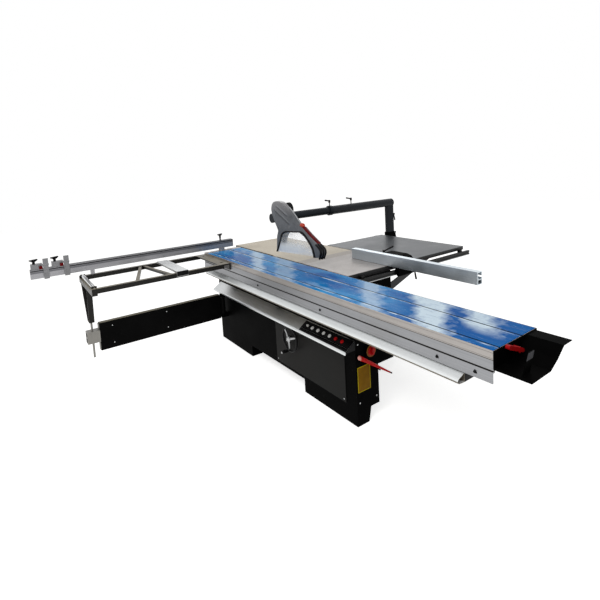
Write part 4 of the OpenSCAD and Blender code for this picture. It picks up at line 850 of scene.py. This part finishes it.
def screw_head(radius, height):
    """A button head: a dome profile turned about its axis, with a round socket sunk in the crown."""
    profile = [(0, -0.2 * MM), (radius, -0.2 * MM), (radius, 0.35 * height)]
    dome = [(radius * math.cos(t), height * (0.35 + 0.65 * math.sin(t))) for t in (0.35, 0.7, 1.0)]
    profile += dome + [(radius * 0.45, height), (radius * 0.42, height * 0.5), (0, height * 0.5)]
    return turned(profile, 18)


class TABLESAW_OT_screws(Operator):
    """Puts the small screws on the cover plate, the end face, the arm and the table's skirt"""
    bl_idname = "tablesaw.screws"
    bl_label = "Screws"

    def execute(self, context):
        settings = context.scene.table_saw.screws
        head = screw_head(settings.head_radius, settings.head_height)
        low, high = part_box("front_panel")
        ends = [(low[k] + 20 * MM, high[k] - 20 * MM) for k in range(3)]
        panel = [(low.x + 5 * MM, y, z) for y in ends[1] for z in ends[2]]
        end = [(x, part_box("console_strip")[0].y, z) for x, z in END_SCREWS]
        arm = [(x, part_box("swing_arm")[0].y, z) for x, z in ARM_SCREWS]
        for name, spots, way, body in (("panel_screws", panel, LEFT, "base"),
                                       ("end_screws", end, FRONT, "base"),
                                       ("arm_screws", arm, FRONT, "swing_arm")):
            build(name, [stood(head, spot, way) for spot in spots], "turned_steel", body)
        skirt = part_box("sliding_table")[0].x
        bolt = screw_head(8 * MM, 6 * MM)
        # The dark notch round each bolt is painted shade: a thin black plate with three corners
        notch_shade = turned([(0, 0), (13 * MM, 0), (13 * MM, 0.6 * MM), (0, 0.6 * MM)], 3)
        bolts = [stood(bolt, (skirt, y, SKIRT_BOLT_HEIGHT), LEFT) for y in SKIRT_BOLTS]
        bolts += [stood(notch_shade, (skirt - 0.3 * MM, y, SKIRT_BOLT_HEIGHT), LEFT, math.pi / 2)
                  for y in SKIRT_BOLTS]
        build("skirt_bolts", bolts, "black_nylon", "table")
        return {"FINISHED"}


# On the end face, as (x, z): two corners of the bare card, its frame's width, the main switch's middle
CARD_LOW = (-0.252, 0.232)
CARD_HIGH = (-0.140, 0.405)
CARD_FRAME = 5 * MM
SWITCH_MIDDLE = (-0.14, 0.495)
# Worn face of the tray's upright as (x, z), and where it starts and ends along Y
TRAY_FACE = ((-0.3175, 0.876), (-0.2665, 0.876), (-0.2535, 0.905), (-0.3005, 0.905))
TRAY_FACE_Y = (-2.2132, -2.2119)
# The console falls so far over such a width, and its apron runs between two distances down that slope
CONSOLE_FALL = (54 * MM, 79.7 * MM)
APRON = (72.4 * MM, 95.8 * MM)


class TABLESAW_OT_plates(Operator):
    """Adds the bare plates on the end face, the console's black apron, end caps, a black plate of painted
    shade on the beam's hollow end, and the stops' pads
    """
    bl_idname = "tablesaw.plates"
    bl_label = "Plates, caps and pads"

    def execute(self, context):
        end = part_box("console_strip")[0].y
        (x1, z1), (x2, z2) = CARD_LOW, CARD_HIGH
        card = rounded_box((x1, end - 0.6 * MM, z1), (x2, end + 0.1 * MM, z2), 0.3 * MM)
        build("bare_card", [card], "bare_yellow_plate", "base")
        ring = turned([(0.030, 0), (0.041, 0), (0.041, 0.001), (0.0405, 0.0014), (0.030, 0.0014),
                       (0.030, 0)], 56)
        middle = (SWITCH_MIDDLE[0], end - 18 * MM, SWITCH_MIDDLE[1])
        build("isolator_rim", [stood(ring, middle, FRONT)], "ochre_switch_rim", "base")
        field = rounded_box((x1 + CARD_FRAME, end - 0.9 * MM, z1 + CARD_FRAME),
                            (x2 - CARD_FRAME, end - 0.5 * MM, z2 - CARD_FRAME), 0.15 * MM)
        build("card_field", [field], "bare_ochre_field", "base")
        self.console()
        build("tray_upright_face", [slab(TRAY_FACE, *TRAY_FACE_Y)], "worn_grey_coat", "table")
        # Painted shade: a black plate on the beam's end stands for the dark of its hollow end
        low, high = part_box("base_beam")
        cap = rounded_box((low.x + 53 * MM, low.y - 1.2 * MM, low.z + 1 * MM),
                          (high.x - 0.5 * MM, low.y + 0.1 * MM, high.z - 1 * MM), 0.5 * MM)
        build("beam_end_hollow_shade", [cap], "black_nylon", "base")
        low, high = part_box("cross_profile")
        cap = rounded_box((low.x + 1 * MM, low.y - 1.5 * MM, high.z - 41 * MM),
                          (high.x - 1 * MM, low.y + 0.1 * MM, high.z - 1 * MM), 0.6 * MM)
        build("cross_profile_cap", [cap], "black_nylon", "cross_profile")
        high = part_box("crosscut_fence")[1]
        cap = rounded_box((high.x - 0.1 * MM, high.y - 54 * MM, high.z - 74 * MM),
                          (high.x + 3 * MM, high.y - 1 * MM, high.z - 1 * MM), 1 * MM)
        build("fence_cap", [cap], "dark_red_strip", "cross_fence")
        for number in (1, 2):
            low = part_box(f"stop_carriage_{number}")[0]
            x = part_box(f"stop_flag_{number}")[0].x - 4 * MM
            pad = rounded_box((x - 24 * MM, low.y - 1.6 * MM, low.z + 6 * MM),
                              (x, low.y + 0.1 * MM, low.z + 32 * MM), 0.7 * MM)
            build(f"stop_pad_{number}", [pad], "dark_red_strip", f"stop_carriage_{number}")
        return {"FINISHED"}

    def console(self):
        """Black apron from the switch plate down to the bright rim, and the cap on the console's end."""
        low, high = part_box("console_strip")
        plate_low, plate_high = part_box("control_panel")
        slope = math.atan2(*CONSOLE_FALL)
        apron, faces = rounded_box((APRON[0], plate_low.y, 0.2 * MM), (APRON[1], plate_high.y, 1.8 * MM),
                                   0.4 * MM)
        s, y, n = apron.T
        apron = np.stack([high.x - s * math.cos(slope) - n * math.sin(slope), y,
                          high.z - s * math.sin(slope) + n * math.cos(slope)], -1)
        cap = slab([(high.x, high.z - 1 * MM), (high.x - 79 * MM, high.z - 54.5 * MM),
                    (high.x - 79 * MM, high.z - 63 * MM), (high.x, high.z - 63 * MM)],
                   low.y - 1.4 * MM, low.y + 0.1 * MM)
        build("console_apron", [(apron, faces), cap], "black_nylon", "base")


# Side outline of the guard and the window edge that faces each point, as (y, z) in metres from the
# rear foot over the crest to the front foot
HOOD_OUTER = (
    (0.263, 0.963), (0.256, 1.050), (0.251, 1.112), (0.228, 1.160), (0.214, 1.202),
    (0.232, 1.250), (0.282, 1.282), (0.320, 1.312), (0.335, 1.352), (0.322, 1.394),
    (0.288, 1.417), (0.248, 1.423), (0.190, 1.421), (0.150, 1.412), (0.098, 1.383),
    (0.045, 1.350), (-0.012, 1.303), (-0.068, 1.254), (-0.144, 1.207), (-0.220, 1.160),
    (-0.300, 1.118), (-0.371, 1.081), (-0.400, 1.062), (-0.407, 1.035), (-0.397, 1.014),
    (-0.388, 1.000))
HOOD_WINDOW = (
    (0.246, 0.966), (0.224, 1.002), (0.206, 1.030), (0.194, 1.052), (0.186, 1.070),
    (0.178, 1.085), (0.170, 1.099), (0.163, 1.112), (0.156, 1.121), (0.149, 1.129),
    (0.141, 1.136), (0.132, 1.143), (0.120, 1.150), (0.106, 1.156), (0.085, 1.162),
    (0.050, 1.165), (0.000, 1.169), (-0.055, 1.173), (-0.125, 1.179), (-0.192, 1.152),
    (-0.250, 1.106), (-0.285, 1.066), (-0.296, 1.046), (-0.303, 1.022), (-0.308, 1.004),
    (-0.311, 0.989))


GUARD_STEPS = 230
# Places along Y, in metres: ends of the red strip, crest where the beads start, start of the nose
STRIP_START, STRIP_END = -0.12, -0.352
CREST = 0.08
NOSE_START = -0.345
CLAMP_PLACE = (0.055, 0.405, 1.252)
SPIGOT_PLACE = (0.045, 0.150, 1.350)


def guard_outlines(count):
    """The two outlines at the same even steps of the outer one's length, softened by a running mean."""
    outer, window = np.array(HOOD_OUTER), np.array(HOOD_WINDOW)
    step = np.concatenate([[0], np.cumsum(np.linalg.norm(np.diff(outer, axis=0), axis=1))])
    s = np.linspace(0, step[-1], count)
    lines = []
    for points in (outer, window):
        line = np.stack([np.interp(s, step, points[:, k]) for k in (0, 1)], 1)
        for _ in range(4):
            line[1:-1] = (line[:-2] + 2 * line[1:-1] + line[2:]) / 4
        lines.append(line)
    return lines


def across_line(points, a, b):
    """How far along the line a to b each point lies, from 0 to 1, and how far below that line."""
    a, way = np.array(a), np.array(b) - np.array(a)
    t = np.clip(((points - a) @ way) / (way @ way), 0, 1)
    return t, (points - a) @ np.array([-way[1], way[0]]) / np.linalg.norm(way)


def normal_to(line):
    """Unit normals of an outline in its (y, z) plane, away from the guard's inside."""
    tangent = np.gradient(line, axis=0)
    tangent /= np.linalg.norm(tangent, axis=1, keepdims=True)
    return np.stack([tangent[:, 1], -tangent[:, 0]], 1)


class TABLESAW_OT_guard(Operator):
    """Builds the moulded guard: crowned shell, black arch, red strip, ribbed nose and fittings"""
    bl_idname = "tablesaw.guard"
    bl_label = "Blade guard"

    def execute(self, context):
        settings = context.scene.table_saw.guard
        self.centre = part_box("guard_hood")[0].x + settings.half_width
        self.outer, self.window = guard_outlines(GUARD_STEPS)
        self.shell(settings)
        self.arch(settings)
        self.strip()
        self.nose()
        self.fittings()
        return {"FINISHED"}

    def step_at(self, y):
        """Number of the outer line's point that lies nearest to a place along Y."""
        return int(np.argmin(np.abs(self.outer[:, 0] - y)))

    def shell(self, settings):
        """Loft from window edge over the crest to the other window edge: x is the half width times
        (1 - h^6)^(1/6), where h is 0 at the edges and 1 at the crest, with two sunk folds."""
        rounding = np.cos(np.radians(np.arange(0, 65, 5))) ** (1 / 3)
        half = np.concatenate([rounding, np.linspace(0.77, 0, 44)])
        radial = np.concatenate([half[::-1], half[1:]])
        across = np.concatenate([-(1 - half[::-1] ** 6) ** (1 / 6), (1 - half[1:] ** 6) ** (1 / 6)])
        yz = self.window[:, None] + (self.outer - self.window)[:, None] * radial[None, :, None]
        x = self.centre + settings.half_width * across[None] + np.zeros(yz.shape[:2])
        for start, end, wide, deep in FOLDS:
            t, below = across_line(yz, start, end)
            fade = smooth(t, 0.0, 0.2) * (1 - smooth(t, 0.85, 1.0))
            step = smooth(below, -4 * MM, 5 * MM) * np.exp(-(below / wide) ** 2)
            ridge = 0.3 * np.exp(-((below + 9 * MM) / (8 * MM)) ** 2)
            sink = deep * (step - ridge) * fade * smooth(np.abs(across), 0.85, 0.99)[None]
            x = x - np.sign(across)[None] * sink
        piece = build("guard_shell", [sheet(np.concatenate([x[..., None], yz], -1))], "grey_guard_moulding",
                      "guard", sharp=50, wall=settings.wall)
        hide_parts("guard_hood")

    def arch(self, settings):
        """Black band round the window on both sides: a bar swept along the window's edge, which is raised
        by 2.5 mm sin(pi u)^0.3 across its width."""
        way = self.outer - self.window
        way /= np.linalg.norm(way, axis=1, keepdims=True)
        y = self.window[:, 0]
        wide = 0.012 + 0.012 * smooth(y, 0.09, 0.17) + 0.020 * smooth(-y, 0.11, 0.16)
        u = np.linspace(0, 1, 7)[None, :]
        band = self.window[:, None] + way[:, None] * (u * wide[:, None] - 0.004)[..., None]
        raised = 2.5 * MM * np.clip(np.sin(np.pi * u), 0, 1) ** 0.3 + np.zeros((GUARD_STEPS, 1))
        sides = []
        for side in (-1, 1):
            x = self.centre + side * (settings.half_width + raised)
            sides.append(sheet(np.concatenate([x[..., None], band], -1)))
        build("window_arch", sides, "black_nylon", "guard", sharp=50, wall=4 * MM)

    def strip(self):
        """Red strip along the front slope: a shallow crown over the outline, with a cap at its top."""
        start, end = self.step_at(STRIP_START), self.step_at(STRIP_END)
        line, normal = self.outer[start:end], normal_to(self.outer)[start:end]
        v = np.linspace(-math.pi / 2, math.pi / 2, 17)
        swell = np.sin(np.linspace(0.12, math.pi - 0.12, len(line)))[:, None] ** 0.3
        x = self.centre + 0.012 + 0.017 * np.sin(v)[None] * np.ones((len(line), 1))
        lift = 7 * MM * np.abs(np.cos(v))[None] ** 0.4 * swell - 1 * MM
        yz = line[:, None] + normal[:, None] * lift[..., None]
        build("red_strip", [sheet(np.concatenate([x[..., None], yz], -1))], "dark_red_strip", "guard",
              sharp=60, wall=3 * MM)
        cap = turned([(0, -0.006), (0.021, -0.006), (0.023, 0.004), (0.021, 0.011), (0.015, 0.013),
                      (0.013, 0.008), (0, 0.008)], 32)
        y, z = self.outer[start - 2]
        cap = stood(cap, (self.centre + 0.010, y, z), (0, *normal[0]))
        build("guard_cap", [cap], "orange_red_cap", "guard")
        # Pale beads on the slope's edges are painted highlights
        crest = self.step_at(CREST)
        highlight_beads = []
        for first, last, shift in ((crest, start - 3, 0.012), (start + 2, end - 4, 0.033)):
            rim = self.outer[first:last] + normal_to(self.outer)[first:last] * 0.001
            path = np.concatenate([np.full((len(rim), 1), self.centre + shift), rim], 1)
            highlight_beads.append(tube(path, 0.0032, 10))
        build("slope_highlight_beads", highlight_beads, "slope_edge_painted_highlight", "guard")

    def nose(self):
        """Nose: three close round ribs along the front foot, whose radius swells as a sine of the way."""
        start = self.step_at(NOSE_START)
        ribs = []
        for shift, thick in ((-0.024, 0.0105), (-0.002, 0.0125), (0.021, 0.0105)):
            path = self.outer[start:] + [0.006, 0.0]
            path = np.concatenate([path, [path[-1] + [0.006, -0.016]]])
            path = np.concatenate([np.full((len(path), 1), self.centre + shift), path], 1)
            swell = 0.8 + 0.2 * np.sin(np.linspace(0, math.pi, len(path)))
            ribs.append(tube(path, thick * swell, 18))
        build("guard_nose", ribs, "black_nylon", "guard")

    def fittings(self):
        """Boom clamp, its stay, and the extraction spigot with its collar on the far side."""
        clamp = turned([(0.0385, -0.012), (0.0425, -0.012), (0.043, -0.009), (0.043, 0.009),
                        (0.0425, 0.012), (0.0385, 0.012), (0.0385, -0.012)], 48)
        parts = [stood(clamp, CLAMP_PLACE, (1, 0, 0))]
        parts.append(rounded_box((0.042, 0.212, 1.207), (0.052, 0.372, 1.292), 2 * MM))
        spigot = turned([(0.037, 0.0), (0.040, 0.0), (0.040, 0.038), (0.0395, 0.040), (0.037, 0.040),
                         (0.037, 0.0)], 48)
        parts.append(stood(spigot, SPIGOT_PLACE, (1, 0, 0)))
        # Hose cuff: the radius waves by 5 mm, three ribs over 30 mm
        ribs = np.linspace(0.0, 1.0, 25)
        cuff = [(0.054 + 0.005 * abs(math.sin(3 * math.pi * t)), 0.001 + 0.030 * t) for t in ribs]
        collar = turned([(0.0405, 0.001), *cuff, (0.0405, 0.031), (0.0405, 0.001)], 48)
        parts.append(stood(collar, SPIGOT_PLACE, (1, 0, 0)))
        build("guard_fittings", parts, "black_nylon", "guard")


# Half of the floor's side
FLOOR_REACH = 14.0
# The photograph's camera: place in metres, turn in degrees, focal length in mm on a 36 mm sensor, shift
CAMERA_PLACE = (-2.006, -3.098, 1.741)
CAMERA_TURN = (84.166, 2.891, -37.533)
CAMERA_LENS = 25.967
CAMERA_SHIFT = (-0.04115, -0.15462)
LOOKED_AT = Vector((0, 0, 0.8))


class TABLESAW_OT_stage(Operator):
    """Makes the floor, the soft lamps, the white world and the photograph's camera"""
    bl_idname = "tablesaw.stage"
    bl_label = "Stage"

    def execute(self, context):
        settings = context.scene.table_saw.stage
        scene = context.scene
        mesh = bpy.data.meshes.new("studio_floor")
        r = FLOOR_REACH
        mesh.from_pydata([(-r, -r, 0), (r, -r, 0), (r, r, 0), (-r, r, 0)], [], [(0, 1, 2, 3)])
        floor = bpy.data.objects.new("studio_floor", mesh)
        scene.collection.objects.link(floor)
        mesh.materials.append(finish("matt_white_floor"))
        world = bpy.data.worlds.new("white_studio")
        scene.world = world
        world.use_nodes = True
        tree = world.node_tree
        tree.nodes.clear()
        seen = seen_white(tree, ["Is Glossy Ray", "Is Transmission Ray"])
        strength = add_node(tree, "ShaderNodeMapRange", {0: seen, 1: 0.0, 2: 1.0, 3: 0.4, 4: 1.0})
        sky = add_node(tree, "ShaderNodeBackground", {"Color": (1, 1, 1, 1), "Strength": strength})
        add_node(tree, "ShaderNodeOutputWorld", {"Surface": sky})
        for name, place, size, power in (("key_lamp", (-3.5, -3.0, 4.6), 3.0, settings.lamp_power),
                                         ("far_lamp", (3.0, 3.5, 4.2), 3.0, settings.lamp_power * 0.35)):
            lamp = bpy.data.lights.new(name, "AREA")
            lamp.energy, lamp.size = power, size
            holder = bpy.data.objects.new(name, lamp)
            holder.location = place
            holder.rotation_euler = (LOOKED_AT - Vector(place)).to_track_quat("-Z", "Y").to_euler()
            scene.collection.objects.link(holder)
        lens = bpy.data.cameras.new("photo_camera")
        lens.sensor_width, lens.lens = 36.0, CAMERA_LENS
        lens.shift_x, lens.shift_y = CAMERA_SHIFT
        lens.clip_end = 60.0
        camera = bpy.data.objects.new("photo_camera", lens)
        camera.location = CAMERA_PLACE
        camera.rotation_euler = [math.radians(angle) for angle in CAMERA_TURN]
        scene.collection.objects.link(camera)
        scene.camera = camera
        scene.view_settings.view_transform = "Standard"
        return {"FINISHED"}


class TABLESAW_PT_looks(Panel):
    """Buttons and settings for the saw's looks"""
    bl_idname = "TABLESAW_PT_looks"
    bl_label = "Sliding Table Saw"
    bl_space_type = "VIEW_3D"
    bl_region_type = "UI"
    bl_category = "Table Saw"

    def draw(self, context):
        settings = context.scene.table_saw
        for operator in OPERATORS:
            self.layout.operator(operator.bl_idname)
        for group in (settings.film, settings.guard, settings.wheel, settings.screws, settings.stage):
            box = self.layout.box()
            for name in group.__annotations__:
                box.prop(group, name)


SETTINGS = (FilmSettings, GuardSettings, WheelSettings, ScrewSettings, StageSettings, SawSettings)
OPERATORS = (TABLESAW_OT_finishes, TABLESAW_OT_film, TABLESAW_OT_handwheel, TABLESAW_OT_screws,
             TABLESAW_OT_plates, TABLESAW_OT_guard, TABLESAW_OT_stage)


def register():
    """Makes the settings, the operators and the panel known."""
    for cls in (*SETTINGS, *OPERATORS, TABLESAW_PT_looks):
        bpy.utils.register_class(cls)
    bpy.types.Scene.table_saw = PointerProperty(type=SawSettings)


def unregister():
    """Takes them away again, in the other order."""
    del bpy.types.Scene.table_saw
    for cls in reversed((*SETTINGS, *OPERATORS, TABLESAW_PT_looks)):
        bpy.utils.unregister_class(cls)


def main():
    """Registers the classes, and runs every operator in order."""
    register()
    for operator in OPERATORS:
        group, name = operator.bl_idname.split(".")
        getattr(getattr(bpy.ops, group), name)()


if __name__ == "__main__":
    main()
